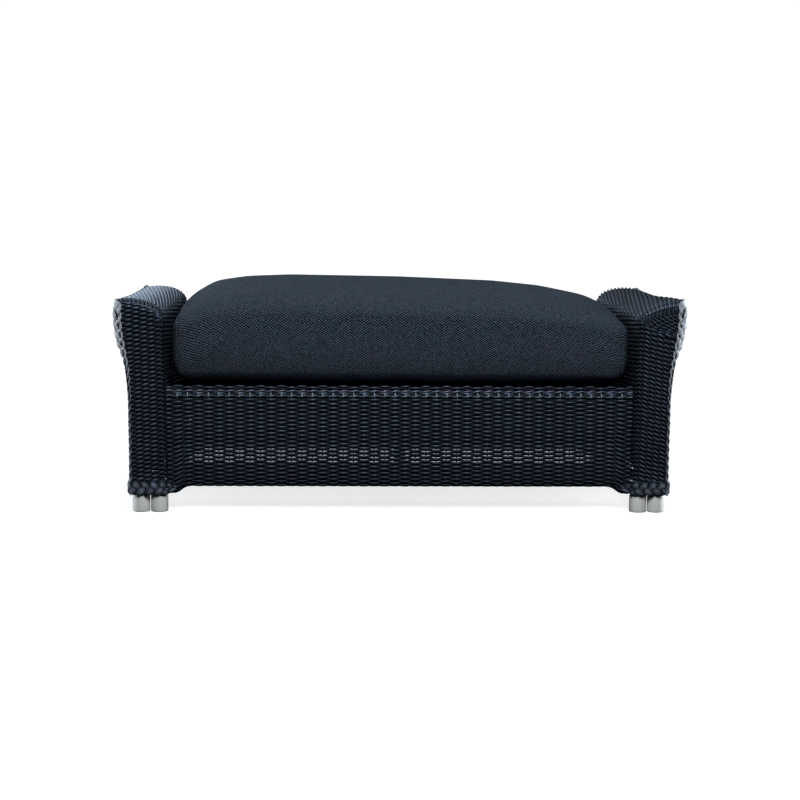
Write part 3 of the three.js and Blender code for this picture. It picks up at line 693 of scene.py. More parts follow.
def skin_point(s, q, h):
    """Points and normals of the skin, s along the outline and q along y and over its round edges."""
    turn = np.clip((np.abs(q) - FLAT_REACH) / TOP_ROUND, 0, 1.53)

    def place(s, turn, side):
        t = np.interp(s, TABLE_S, TABLE_T)
        drop = TOP_ROUND * (1 - np.cos(turn))
        x, z = arm_outline(t, INNER_ROUND / TOP_ROUND * drop, 0.0, drop)
        return np.stack([x, side * (FLAT_REACH + TOP_ROUND * np.sin(turn)), z], -1)

    side = np.where(q < 0, -1.0, 1.0)
    point = place(s, turn, side)
    up = place(np.minimum(s + 2e-4, S_END), turn, side) - place(np.maximum(s - 2e-4, 0), turn, side)
    over = place(s, turn + 1e-3, side) - place(s, turn - 1e-3, side)
    straight = np.stack([0 * s, side, 0 * s], -1)
    forward = np.where((turn > 0)[..., None], over, straight)
    normal = unit(np.cross(up, forward) * side[..., None])
    flat = np.abs(q) < FLAT_REACH
    point[..., 1] = np.where(flat, q, point[..., 1])
    return point + normal * (h - MIDDLE)[..., None], normal


# %% [markdown]
# On a face the rows fan out. Each one leaves the inner or top edge at its own slant and ends at the
# outer edge. A curve with four control points does just that: the first two set its start, and the
# last two its end. How far apart two neighbours lie is measured afterwards, because a strand has
# to be as wide as the room that it has.

# %% Lines of the rows
ROW_RISE = 0.0042
HALF_TURNS = 15.75
SLEEVE_STAKE = 0.0197
FACE_STAKE = 0.0145
SLEEVE_DRIFT = math.tan(math.radians(8))
Q_END = HALF_TURNS * SLEEVE_STAKE
FACE_SAMPLES = 26
START_HANDLE, END_HANDLE = 0.36, 0.40
FAN_BULGE, END_TURN = 0.10, math.radians(8)
LEDGE = 0.0012
RIB, RIB_VALLEY = 0.75, 0.3
FLAT_RIB, FLAT_VALLEY = 0.30, 0.75
RIB_WIDTH, UNDER_RIB_WIDTH = 1.04, 1.45
INNER_SHADE = 0.35
FIRST_ROW = -36
RIBS_START, RIBS_FULL = S_SHOULDER - 0.012, S_SHOULDER + 0.030
RIBS_FADE, RIBS_END = S_LIP + 0.006, S_LIP + 0.030
TUCK_BEND, TUCK_FROM = 0.014, 0.262
TUCK_FADE, TUCK_FLAT = 0.232, 0.256
BORDER = 0.80
LOWEST_ROW, SHORTEST_ROW = ARM_BASE + 0.002, 0.006
FACE_WIDTHS, FOOT_WIDER = (0.0016, 0.0041), 1.25
RIM_WIDTH, RIM_THICK, RIM_TOP, RIM_SHADE = 0.0060, 0.0024, 0.392, 0.40
CAP_STAKES = 19


def outer_edge(z):
    """Where the outer edge of the arm's front face stands at a height."""
    beyond = TABLE_T >= 3
    return np.interp(z, TABLE_Z[beyond][::-1], TABLE_X[beyond][::-1])


def face_rows(s_edge, slope, top_slope):
    """Middle lines of the rows on the front face, one for each place along its inner and top edge."""
    t = np.interp(s_edge, TABLE_S, TABLE_T)
    x0, z0 = arm_outline(t, INNER_ROUND, 0.0, TOP_ROUND)
    ahead = arm_outline(np.minimum(t + 1e-3, 4.9), INNER_ROUND, 0.0, TOP_ROUND)
    behind = arm_outline(np.maximum(t - 1e-3, 0), INNER_ROUND, 0.0, TOP_ROUND)
    along = unit(np.stack([ahead[0] - behind[0], ahead[1] - behind[1]], -1))
    inward = np.stack([along[:, 1], -along[:, 0]], -1)
    past = np.clip((s_edge - S_SHOULDER) / (S_LIP - S_SHOULDER), 0, 1)
    lean = ease(slope, top_slope, 0, 0.35, past)
    start_way = inward * np.cos(lean)[:, None] - along * np.sin(lean)[:, None]
    low_end = z0 - (outer_edge(z0) - x0) * math.tan(slope)
    shoulder_end = SHOULDER - (outer_edge(SHOULDER - 0.04) - TOP_INNER_X - INNER_ROUND) * math.tan(slope)
    fan = past * (1 + FAN_BULGE * (1 - past))
    z3 = np.where(past > 0, shoulder_end + (LIP_EDGE - shoulder_end) * fan, low_end)
    x3 = outer_edge(z3) - LEDGE
    end_slope = slope + END_TURN * past
    end_way = np.stack([np.cos(end_slope), -np.sin(end_slope)], -1)
    reach = np.hypot(x3 - x0, z3 - z0)[:, None]
    first, last = np.stack([x0, z0], -1), np.stack([x3, z3], -1)
    share = np.linspace(0, 1, FACE_SAMPLES)[None, :, None]
    second, third = first + start_way * reach * START_HANDLE, last - end_way * reach * END_HANDLE
    controls = [control[:, None, :] for control in (first, second, third, last)]
    return bezier(share, *controls)


LIP_EDGE = arm_outline(3.0, 0, 0, TOP_ROUND)[1] - 0.002
FRONT_FACE = ARM_REACH - MIDDLE


def face_lines(numbers, s_edge, slope, top_slope):
    """For each row that reaches a face: its line there, and how far apart its neighbours leave it."""
    on_face = (s_edge > 0.002) & (s_edge < S_LIP - 0.003)
    lines = face_rows(s_edge[on_face], slope, top_slope)
    before, after = np.roll(lines, 1, 0), np.roll(lines, -1, 0)
    before[0], after[-1] = lines[0], lines[-1]
    way = unit(np.gradient(lines, axis=1))
    gap = after - before
    pitch = np.abs(gap[..., 0] * way[..., 1] - gap[..., 1] * way[..., 0]) / 2
    pitch[[0, -1]] *= 2
    return dict(zip(numbers[on_face].tolist(), zip(lines, pitch)))


print("the sleeve's rows reach", round(Q_END, 4), "m each way; the lip is at", round(S_LIP, 4))

# %% [markdown]
# A face has three kinds of strand: its rows, with painted shade where they pass the inner edge and
# the rim, the stakes behind them, and a strand down the rim painted near black as shade. A row could
# be a curve with a bevel, but its width changes all the way, so it goes into the same bundle as the
# crown's.

# %% Parts of a face
def add_face_row(bundle, side, sign, s_edge, line, pitch, shade):
    """One row of a face: it goes on where the sleeve's row ends, and comes down from its rib."""
    run = run_along(line)
    if run[-1] < SHORTEST_ROW:
        return
    turns = HALF_TURNS + run / FACE_STAKE
    lifted = smooth(RIBS_START, RIBS_FULL, s_edge) * (1 - smooth(0.002, 0.022, run))
    height = WAVE * sign * ((1 - lifted) * wave_form(turns) + RIB * lifted)
    crest = crest_of(height / np.maximum(1 - (1 - RIB) * lifted, RIB))
    # Painted shade: the rows darken near the inner edge and near the rim, where the face turns away.
    if s_edge < S_SHOULDER:
        crest = crest * ease(INNER_SHADE, 1, 0, 0.016, run)
    crest = crest * ease(RIM_SHADE, 1, 0, 0.012, run[-1] - run)
    face = np.stack([line[:, 0], side * (FRONT_FACE + height), line[:, 1]], -1)
    plain = 1.04 + SWELL * sign * wave_form(turns)
    rib_width = RIB_WIDTH if sign > 0 else 1.0
    wide = np.clip(pitch, *FACE_WIDTHS) * ((1 - lifted) * plain + lifted * rib_width)
    thick = STRAND_THICK * np.clip(wide / 0.0036, 0.6, 1)
    wide = wide * ease(FOOT_WIDER, 1, 0.055, 0.085, face[:, 2])
    bundle.add(face, (0, side, 0), wide, thick, face[:, 2] > LOWEST_ROW, tone=shade, crest=crest)


def add_rim(bundle, side):
    """A strand along the outer edge of a face, where its rows end, painted near black as shade."""
    z = np.linspace(ARM_BASE + 0.020, RIM_TOP, 60)
    rim = np.stack([outer_edge(z) - LEDGE, np.full(60, side * (FRONT_FACE - 0.0010)), z], -1)
    # Painted shade: a low crest paints the rim strand near black, like the shadow beside the plait.
    bundle.add(rim, (0, side, 0), RIM_WIDTH, RIM_THICK, tone=0.0, crest=0.1)


def face_stakes(bundle, side, rows, capped):
    """Stakes of a front or back face, each at one distance along all the rows that it crosses."""
    for number in range(1, 8):
        far = (number - 0.75) * FACE_STAKE
        chain = []
        for row in sorted(rows)[: -CAP_STAKES if capped else None]:
            line = rows[row][0]
            run = run_along(line)
            if far < run[-1] - 0.001:
                x, z = (np.interp(far, run, line[:, axis]) for axis in (0, 1))
                chain.append([x, side * (FRONT_FACE + STAKE_DEPTH), z])
        chain = np.array([place for place in chain if place[2] > LOWEST_ROW])
        if len(chain) > 2:
            # Painted shade: the stakes lie behind the rows and are painted near black by a low crest.
            bundle.add(chain, (0, side, 0), STAKE_WIDTH * 0.8, STAKE_THICK, sides=4, tone=0.0, crest=0.1)


# %% [markdown]
# One pass over the numbers of the rows makes a whole arm, so that a row keeps its tone from the
# sleeve to the face. Its points are shared out to three pieces by their place along the outline.
# The inner face and the crown stand for the wrap, and the outer side for the side panel, and each
# piece stays small enough for its mesh to be kept whole.

# %% One arm
def sleeve_stakes(inner, crown, outer):
    """Stakes round the arm, each in three parts that overlap a little."""
    s = np.linspace(0.002, S_END - 0.002, 90)
    for number in range(-int(HALF_TURNS), int(HALF_TURNS) + 1):
        points, normals = skin_point(s, np.full(len(s), number * SLEEVE_STAKE), np.full(len(s), STAKE_DEPTH))
        for bundle, low, high in ((inner, 0, S_SHOULDER), (crown, S_SHOULDER, S_LIP), (outer, S_LIP, S_END)):
            part = (s > low - 0.008) & (s < high + 0.008)
            # Painted shade: the stakes lie behind the rows and are painted near black by a low crest.
            bundle.add(points, normals, STAKE_WIDTH, STAKE_THICK, part, sides=4, tone=0.0, crest=0.1)


def arm_weave(seed, slope, top_slope, tuck):
    """Bundles of the sleeve, the crown with both faces, and the outer side of the right arm."""
    inner, crown, outer = Bundle(seed), Bundle(seed + 1), Bundle(seed + 2)
    numbers = np.arange(FIRST_ROW, int(S_END / ROW_RISE) + 2)
    s_front = numbers * ROW_RISE
    phase = np.arange(-HALF_TURNS, HALF_TURNS + 0.1, 1 / STEPS)
    q = phase * SLEEVE_STAKE
    drift = SLEEVE_DRIFT * (q + Q_END)
    bend = TUCK_BEND * np.clip((-q - TUCK_FROM) / 0.048, 0, 1) ** 2 if tuck else 0 * q
    rib, valley = (FLAT_RIB, FLAT_VALLEY) if tuck else (RIB, RIB_VALLEY)
    climb = {-1: 0, 1: drift[-1]}
    faces = {side: face_lines(numbers, s_front + climb[side], slope, top_slope) for side in climb}

    for number, s0 in zip(numbers.tolist(), s_front):
        sign = 1 if number % 2 else -1
        s = s0 + drift + bend
        ribbed = smooth(RIBS_START, RIBS_FULL, s) * (1 - smooth(RIBS_FADE, RIBS_END, s))
        if tuck:
            ribbed = ribbed * (1 - smooth(TUCK_FADE, TUCK_FLAT, -q))
        height = WAVE * sign * ((1 - ribbed) * wave_form(phase) + rib * ribbed)
        plain = 0.98 + SWELL * sign * wave_form(phase)
        width = ROW_RISE * ((1 - ribbed) * plain + ribbed * (RIB_WIDTH if sign > 0 else UNDER_RIB_WIDTH))
        # Painted shade: on ribs the crest never falls below valley, which sets how dark their valleys are
        # painted.
        crest = np.maximum(crest_of(height / np.maximum(1 - (1 - rib) * ribbed, rib)), valley * ribbed)
        points, normals = skin_point(np.clip(s, 0, S_END), q, height)
        shade = crown.random.random()
        parts = [
            (inner, (s > 0.001) & (s < S_SHOULDER)),
            (crown, (s >= S_SHOULDER) & (s < S_LIP)),
            (outer, (s >= S_LIP) & (s < S_END - 0.001)),
        ]
        for bundle, keep in parts:
            if tuck and bundle is crown:
                keep = keep & (q > -(FLAT_REACH + BORDER * TOP_ROUND))
            # Painted shade: the inner face lies in the shadow between arm and cushion, so its crest is lowered.
            shown = crest * (INNER_SHADE if bundle is inner else 1)
            bundle.add(points, normals, width, STRAND_THICK, keep, tone=shade, crest=shown)
        for side in (-1, 1):
            tucked = tuck and side < 0 and s0 > S_SHOULDER - 0.002
            if number in faces[side] and not tucked:
                add_face_row(crown, side, sign, s0 + climb[side], *faces[side][number], shade)
    for side in (-1, 1):
        face_stakes(crown, side, faces[side], tuck and side < 0)
        add_rim(crown, side)
    sleeve_stakes(inner, crown, outer)
    return inner, crown, outer


# %% [markdown]
# Where the rows of the top are tucked, the face is closed by rows of its own. They keep the slope
# of the rows below, curve back over the round front edge, and end under a thin border strand.

# %% Upper rows of a tucked face
CAP_ROWS = 16


def cap_rows(bundle, slope):
    """Upper rows of a face whose sleeve rows are tucked: they run straight up to the border."""
    t = np.linspace(1, 3, 400)
    top_x, top_z = arm_outline(t, INNER_ROUND, 0.0, TOP_ROUND)
    top_s = np.interp(t, TABLE_T, TABLE_S)
    x = np.linspace(top_x[0], TOP_OUTER_X, 40)
    turns = HALF_TURNS + (x - x[0]) / math.cos(slope) / FACE_STAKE
    limit = TOP_ROUND * (math.pi / 2 - BORDER)
    first = int(np.ceil((S_SHOULDER - 0.002) / ROW_RISE))
    for number in range(first, first + CAP_ROWS):
        z = number * ROW_RISE + ARM_BASE - (x - x[0]) * math.tan(slope)
        above = z - np.interp(x, top_x, top_z)
        sign = 1 if number % 2 else -1
        height = WAVE * sign * wave_form(turns) - 0.002 * smooth(limit - 0.004, limit, above)
        flat = np.stack([x, -FRONT_FACE - height, z], -1)
        q = -(FLAT_REACH + TOP_ROUND * (math.pi / 2) - np.maximum(above, 0))
        curved, lean = skin_point(np.interp(x, top_x, top_s), q, height)
        over = (above > 0)[:, None]
        points, normals = np.where(over, curved, flat), np.where(over, lean, (0.0, -1.0, 0.0))
        keep = (above < limit) & (x < outer_edge(z) + 0.0004)
        if keep.sum() > 3:
            wide = ROW_RISE * (1.02 + SWELL * sign * wave_form(turns))
            crest = crest_of(WAVE * sign * wave_form(turns))
            bundle.add(points, normals, wide, STRAND_THICK, keep, crest=crest)
    s = np.linspace(S_SHOULDER - 0.014, S_LIP - 0.001, 60)
    q = np.full(len(s), -(FLAT_REACH + BORDER * TOP_ROUND))
    points, normals = skin_point(s, q, np.full(len(s), 0.0008))
    bundle.add(points, normals, 0.0032, STRAND_THICK, tone=0.9)


# %% [markdown]
# ## Weaving both arms
#
# The rows of the right arm slope steeply and sweep out of the top in one curve. On the left arm
# they slope little, and the rows of the top are tucked under a border at the top of the face; its
# ribs are flat, with little painted shade in their valleys, so they look pale all over. On both arms
# the lip rises a little towards the front.

# %% Weave the arms
TOP_SLOPE = math.radians(35)
LIP_RISE = {"right": 0.011, "left": 0.006}

for side, seed, slope, tuck in (("right", 20, 28, False), ("left", 30, 12, True)):
    bundles = arm_weave(seed, math.radians(slope), TOP_SLOPE, tuck)
    if tuck:
        cap_rows(bundles[1], math.radians(slope))
    for bundle, part, solid in zip(bundles, ("inner", "crown", "outer"), ("wrap", "wrap", "side_panel")):
        name = f"{side}_arm_{part}_weave"
        piece = bundle.piece(name, weave_finish, LIP_RISE[side])
        if side == "left":
            mirror(piece, 0)
        dress(piece, "frame", "weave", f"{side}_arm_{solid}")

# %% [markdown]
# ## Plaits
#
# Flat plaits hide the cut ends of the rows: a pale one down each outer edge and over the lip, and
# a dark one round the foot of each arm. Three limbs swing from side to side one after another, and
# each limb is a small ribbon of strands. The swing is a sine, and the passing over and under has
# twice its pace. Towards the top the edge plait turns until it faces mostly forwards.

# %% Plaits
PLAIT_PACE = 0.052
PLAIT_STEP = 0.002
LIFT_SHARE, ROUND_SHARE = 0.95, 0.45
CREST_SWING, LIMB_SIDE_SHADE = 0.70, 0.6
STRAND_FILL, STRAND_FLAT = 0.94, 0.85


def resample(corners, spacing):
    """Evenly spaced points on a chain of straight lines."""
    corners = np.asarray(corners, float)
    run = run_along(corners)
    count = max(int(run[-1] / spacing), 2)
    places = np.linspace(0, run[-1], count + 1)
    return np.stack([np.interp(places, run, corners[:, i]) for i in range(3)], -1)


def eased(line, passes):
    """Softens the corners of a line and keeps its ends."""
    line = line.copy()
    for _ in range(passes):
        line[1:-1] = (line[:-2] + 2 * line[1:-1] + line[2:]) / 4
    return line


def plait(bundle, line, normals, swing, limb, strands, strand, fall=1.0, least=0.0, middle=0.60, shade=1.0):
    """Three limbs of fine strands plaited flat along a line.

    fall narrows the plait along its run; middle and least set how much of a limb is crest, and shade scales its
    crest as painted shade.
    """
    line, normals = np.asarray(line), unit(np.asarray(normals))
    along = unit(np.gradient(line, axis=0))
    across = unit(np.cross(along, normals))
    outward = np.cross(across, along)
    run = run_along(line)
    narrow = np.broadcast_to(fall, run.shape)
    for number in range(3):
        turn = 2 * np.pi * (run / PLAIT_PACE + number / 3)
        aside = swing * narrow * np.sin(turn)
        lift = strand * LIFT_SHARE * np.sin(2 * turn)
        slope = np.gradient(aside, run)
        size = np.sqrt(1 + slope**2)
        tone = bundle.random.random()
        for place in range(strands):
            aside_share = 2 * place / (strands - 1) - 1
            offset = (place - (strands - 1) / 2) * limb / strands * narrow
            way = line + across * (aside + offset / size)[:, None] - along * (offset * slope / size)[:, None]
            way = way + outward * (lift - ROUND_SHARE * strand * aside_share**2)[:, None]
            hue = np.clip(tone * 0.5 + bundle.random.random() * 0.5, 0, 1)
            # Painted shade: a limb darkens where it passes under the next one and towards its sides.
            crest = middle + CREST_SWING * np.sin(2 * turn) - LIMB_SIDE_SHADE * abs(aside_share) ** 4
            crest = np.clip(crest, least, 1) * shade
            wide = limb / strands * STRAND_FILL * narrow
            bundle.add(way, outward, wide, strand * STRAND_FLAT, tone=hue, crest=crest)


# %% [markdown]
# The edge plait follows the arm's outer edge a little outside it. Its line is given at ten heights,
# by its place from left to right and by how far it leans forwards. Over the lip it lies on the
# arm's side. Its pale finish is painted side light, and painted shade darkens it from the top
# towards its foot, where it faces sideways.

# %% Edge plait
EDGE_TOP, LIP_LEVEL = 0.3985, 0.3940
EDGE_SWING, EDGE_LIMB = 0.0046, 0.0102
LIP_X, LIP_HALF = 0.5490, 0.290
PLAIT_Z = [0.060, 0.120, 0.180, 0.226, 0.270, 0.303, 0.327, 0.356, 0.379, 0.400]
PLAIT_X = [0.5222, 0.5222, 0.5230, 0.5232, 0.5258, 0.5320, 0.5395, 0.5443, 0.5451, 0.5440]
PLAIT_LEAN = [4, 4, 6, 10, 15, 27, 50, 60, 62, 62]


def edge_plait(bundle):
    """Down the front edge, over the lip and down the back edge of the right arm."""
    z = np.linspace(0.058, EDGE_TOP, 90)
    x, lean = np.interp(z, PLAIT_Z, PLAIT_X), np.radians(np.interp(z, PLAIT_Z, PLAIT_LEAN))
    x, lean = eased(x, 10), eased(lean, 10)
    inset = 0.0075 - 0.0080 * np.sin(lean)
    front = np.stack([x, inset - ARM_REACH, z], -1)
    y = np.linspace(-LIP_HALF, LIP_HALF, 160)
    sag = LIP_LEVEL + (EDGE_TOP - LIP_LEVEL) * (np.abs(y) / LIP_HALF) ** 10
    lip = np.stack([np.full(len(y), LIP_X), y, sag], -1)
    back = front[::-1] * (1, -1, 1)
    line = eased(resample(np.concatenate([front, lip[1:-1], back]), PLAIT_STEP), 25)
    lean = np.radians(np.interp(line[:, 2], PLAIT_Z, PLAIT_LEAN)) * smooth(0.27, 0.2925, np.abs(line[:, 1]))
    normals = np.stack([np.cos(lean), np.sign(line[:, 1]) * np.sin(lean), 0 * lean], -1)
    # Painted shade: the plait darkens below the lip, where it faces sideways.
    shade = ease(0.40, 1, 0.20, 0.31, line[:, 2])
    plait(bundle, line, normals, EDGE_SWING, EDGE_LIMB, 5, 0.0021, least=0.62, shade=shade)


# %% [markdown]
# The base plait covers the lower ends of the stakes. It starts thin on the front apron, turns round
# the foot of the arm at its full width, and thins out again on the back apron.

# %% Base plait
BASE_LEVEL, BASE_SWING, BASE_LIMB = 0.0475, 0.0086, 0.0120


def base_plait(bundle):
    """Round the foot of the right arm, from the front apron to the back apron."""
    front_y = -ARM_REACH - 0.0030
    front_half = [
        (0.4350, -APRON_FACE - 0.0035, 0.0440),
        (0.4500, -APRON_FACE - 0.0080, 0.0460),
        (0.4590, front_y, BASE_LEVEL),
        (OUTER_X - 0.0010, front_y, BASE_LEVEL),
        (OUTER_X + 0.0055, front_y + 0.0060, BASE_LEVEL),
    ]
    corners = front_half + [(x, -y, z) for x, y, z in reversed(front_half)]
    line = eased(resample(corners, PLAIT_STEP), 8)
    middle = np.array([0.485, 0.0, 0.0])
    tangent = unit(np.gradient(line, axis=0))
    normals = np.stack([-tangent[:, 1], tangent[:, 0], 0 * line[:, 0]], -1)
    normals *= np.sign(np.sum(normals * (line - middle) * (1, 1, 0), 1))[:, None]
    run = np.arange(len(line)) * PLAIT_STEP
    fall = ease(0.42, 1, 0, 0.030, np.minimum(run, run[::-1]))
    plait(bundle, line, normals, BASE_SWING, BASE_LIMB, 5, 0.0024, fall, middle=0.30)


# %% Plait both arms
for side in ("right", "left"):
    for part, build, solid in (("edge", edge_plait, "edge_braid"), ("base", base_plait, "base_braid")):
        bundle = Bundle(50 + len(part) + len(side))
        build(bundle)
        finish = edge_light_finish if part == "edge" else plait_finish
        piece = bundle.piece(f"{side}_arm_{part}_plait", finish, LIP_RISE[side])
        if side == "left":
            mirror(piece, 0)
        dress(piece, "frame", "braid", f"{side}_arm_{solid}")

# %% [markdown]
# ## The cushion
#
# The cushion is cut as a box: one long panel over the top, the front, the underside and the back,
# and two end panels. It is modelled as a box with round edges, crowned a little left of the
# middle, and then blown up as cloth, so that the sides bulge and the corners wrinkle slightly.
# The blowing up draws it in at the ends, so it is let out to its full size afterwards.

# %% Shape the cushion
CUSHION_SIZE = (0.884, 0.580, 0.195)
CUSHION_BASE = 0.247
START_SMALLER = 0.003
CROWN_X = [-1, -0.93, -0.85, -0.7, -0.5, 0, 0.45, 0.67, 0.87, 0.95, 1]
CROWN_SHARE = [0.775, 0.842, 0.932, 0.981, 1, 0.985, 0.946, 0.896, 0.806, 0.758, 0.72]
EDGE_FALL = 0.17
FABRIC_VOXEL = 0.008
HALF_SIZE = np.array([0.44, 0.29])
BASE_SAG, SIDE_HOLLOW, BASE_INSET = 0.0062, 0.004, 0.013


def crown_share(x, y):
    """The cushion's height at a place, as a share of its highest."""
    share = 0
    for shift in np.linspace(-0.025, 0.025, 9):
        share = share + np.interp(2 * x / CUSHION_SIZE[0] + shift, CROWN_X, CROWN_SHARE) / 9
    return share * (1 - EDGE_FALL * (2 * y / CUSHION_SIZE[1]) ** 2)


bpy.ops.object.select_all(action="DESELECT")
bpy.ops.mesh.primitive_cube_add(size=1, location=(0, 0, CUSHION_BASE + CUSHION_SIZE[2] / 2))
cushion = bpy.context.object
cushion.name = "cushion_body"
bpy.ops.object.mode_set(mode="EDIT")
bpy.ops.mesh.select_all(action="SELECT")
bpy.ops.transform.resize(value=[length - START_SMALLER for length in CUSHION_SIZE])
bpy.ops.mesh.bevel(offset=0.030, segments=6, profile=0.5, affect="EDGES")
bpy.ops.object.mode_set(mode="OBJECT")
bpy.ops.object.transform_apply(location=True, rotation=True, scale=True)
remesh = cushion.modifiers.new("even_faces", "REMESH")
remesh.mode = "VOXEL"
remesh.voxel_size = FABRIC_VOXEL
bpy.ops.object.modifier_apply(modifier=remesh.name)

points = vertices_of(cushion)
share = (points[:, 2] - CUSHION_BASE) / CUSHION_SIZE[2]
middle_x = 1 - (2 * points[:, 0] / CUSHION_SIZE[0]) ** 6
middle_y = 1 - (2 * points[:, 1] / CUSHION_SIZE[1]) ** 6
crowned = CUSHION_BASE + share * CUSHION_SIZE[2] * crown_share(points[:, 0], points[:, 1])
sagging = BASE_SAG * np.clip(1 - share * 6, 0, 1) * np.clip(middle_x, 0, 1) * np.clip(middle_y, 0, 1)
points[:, 2] = crowned - sagging
points[:, 1] *= 1 - SIDE_HOLLOW / HALF_SIZE[1] * np.clip(middle_x, 0, 1)
points[:, 0] *= 1 - SIDE_HOLLOW / HALF_SIZE[0] * np.clip(middle_y, 0, 1)
lower = np.clip(1 - 2.4 * share, 0, 1)[:, None] ** 2
points[:, :2] *= 1 - lower * BASE_INSET / HALF_SIZE
move_vertices(cushion, points)
print("the cushion has", len(points), "points before it is blown up")

# %% Blow it up
PRESSURE = 4.0
BULGE = 0.005
LOWEST = 0.2408
FRAMES = 20
cloth = cushion.modifiers.new("blown_up", "CLOTH")
cloth.settings.use_pressure = True
cloth.settings.uniform_pressure_force = PRESSURE
cloth.settings.effector_weights.gravity = 0
cloth.settings.quality = 5
before = points.copy()
for number in range(1, FRAMES + 1):
    bpy.context.scene.frame_set(number)
bpy.context.view_layer.objects.active = cushion
bpy.ops.object.modifier_apply(modifier=cloth.name)
moved = vertices_of(cushion) - before
far = np.linalg.norm(moved, axis=1, keepdims=True)
moved *= np.minimum(1, BULGE / np.maximum(far, 1e-9))
points = before + moved
points[:, 2] = np.maximum(points[:, 2], LOWEST)
move_vertices(cushion, points)
bpy.context.scene.frame_set(1)
print("the cloth moved by up to", far.max().round(4), "m")
smoothing = cushion.modifiers.new("finer", "SUBSURF")
smoothing.levels = smoothing.render_levels = 1
bpy.context.view_layer.objects.active = cushion
bpy.ops.object.modifier_apply(modifier=smoothing.name)
bpy.ops.object.shade_smooth()

# %% Let it out to its full size
FULL_HALF = (0.4430, 0.2900)
ASIDE = 0.0012

points = vertices_of(cushion)
print("before it is let out, the cushion reaches", np.abs(points).max(0).round(4))
for axis, half in enumerate(FULL_HALF):
    points[:, axis] *= half / np.abs(points[:, axis]).max()
points[:, 0] += ASIDE
move_vertices(cushion, points)

# %% [markdown]
# The cover is a chunky dobby weave. A picture of cloth would repeat and blur, so the pattern is
# reckoned: two slanting waves cross in a lattice of slubs, noise shifts and roughens them, and a
# slow noise blends a cool and a warm yarn. A UV map in metres lays it as the panels are cut, and
# an attribute tells how far a point is from the end seams, which are drawn as a groove.

# %% Fabric
SEAM_X = 0.430
UPPER_HALF = (0.29, 0.36)
CELL_ACROSS, CELL_ALONG = 0.0070, 0.0053
WOBBLE, WOBBLE_SCALE = (0.0030, 0.0030, 0.0), 160.0
SPOT_SCALE, GRIT_SCALE, DYE_SCALE = 75.0, 300.0, 40.0
COOL_YARN_LIT = (0.001, 0.003, 0.005), (0.090, 0.134, 0.166)
WARM_YARN_LIT = (0.002, 0.002, 0.005), (0.110, 0.124, 0.168)
SEAM_SHARPNESS = 450.0


def lay_fabric(piece):
    """A UV map in metres: one panel over top, front and back, and one on each end."""
    mesh = piece.data
    x, y, z = vertices_of(piece).T
    crown = CUSHION_BASE + CUSHION_SIZE[2] * crown_share(x, 0 * x)
    upper = smooth(*UPPER_HALF, z)
    corners = values_of(mesh.loops, "vertex_index", kind=np.int32)
    middles = values_of(mesh.polygons, "center", 3)
    totals = values_of(mesh.polygons, "loop_total", kind=np.int32)
    at_end = np.repeat(np.abs(middles[:, 0]) > SEAM_X, totals)
    front = np.repeat(np.where(middles[:, 1] < 0, -1, 1), totals)
    upper, above = upper[corners], (crown - z)[corners]
    round_edge = above + front * y[corners] * (2 * upper - 1) + CUSHION_SIZE[1] * (1 - upper)
    u = np.where(at_end, y[corners], x[corners])
    v = np.where(at_end, z[corners], front * round_edge)
    layer = mesh.uv_layers.new(name="fabric")
    layer.data.foreach_set("uv", np.stack([u, v], -1).astype(np.float32).ravel())
    seam = mesh.attributes.new("seam", "FLOAT", "POINT")
    seam.data.foreach_set("value", (np.abs(x) - SEAM_X).astype(np.float32))


def fabric_material():
    """A chunky dobby weave: slubs in a slanting lattice, two tones, a fine yarn and a fuzz, with painted
    highlight on the slubs and painted shade between them.
    """
    made, tree, surface = start_material("cushion_fabric", 0.9, 0.1)
    place = own_place(tree)
    wobble = noise(tree, place, WOBBLE_SCALE, 1.0, "Color")
    moved = vector_node(tree, "MULTIPLY_ADD", wobble, WOBBLE, read(tree, "uv", "fabric"))
    parts = split(tree, moved)
    across = times(tree, parts["X"], 2 * math.pi / CELL_ACROSS)
    along = times(tree, parts["Y"], 2 * math.pi / CELL_ALONG)
    falling = math_node(tree, "COSINE", plus(tree, across, along))
    rising = math_node(tree, "COSINE", minus(tree, across, along))
    lattice = plus(tree, times(tree, falling, 0.50), 0.47)
    spotted = times(tree, minus(tree, noise(tree, place, SPOT_SCALE), 0.26), 1.9)
    lattice = plus(tree, lattice, times(tree, rising, spotted))
    uneven = times(tree, noise(tree, place, GRIT_SCALE, 3.0), 1.3)
    height = plus(tree, lattice, minus(tree, uneven, 0.80), clamp=True)
    # Each yarn runs from near black in the hollows to light on the slubs: partly the cloth's own slub pattern,
    # partly painted shade and painted highlight.
    cool, warm = (blend_colours(tree, height, *yarn) for yarn in (COOL_YARN_LIT, WARM_YARN_LIT))
    dye = times(tree, minus(tree, noise(tree, place, DYE_SCALE), 0.3), 2.5, clamp=True)
    link(tree, blend_colours(tree, dye, cool, warm), surface.inputs["Base Color"])
    groove = times(tree, math_node(tree, "ABSOLUTE", read(tree, "value", "seam")), SEAM_SHARPNESS, clamp=True)
    relief = plus(tree, times(tree, height, 0.5), groove)
    bump(tree, surface, relief, 0.8, 0.0016)
    return made


lay_fabric(cushion)
cushion.data.materials.clear()
cushion.data.materials.append(fabric_material())
dress(cushion, "cushion", "fabric", "cushion_cover")

# %% [markdown]
# The foam fills the cover. It is a copy of the cover's own mesh with every point moved inwards,
# so that it follows the crown and never comes through the fabric.

# %% Foam core
FABRIC_THICKNESS = 0.004
core = cushion.copy()
core.data = cushion.data.copy()
core.name = "foam_core"
bpy.context.scene.collection.objects.link(core)
normals = values_of(core.data.vertex_normals, "vector", 3)
move_vertices(core, vertices_of(core) - normals * FABRIC_THICKNESS)
print("the foam has", len(core.data.vertices), "points")

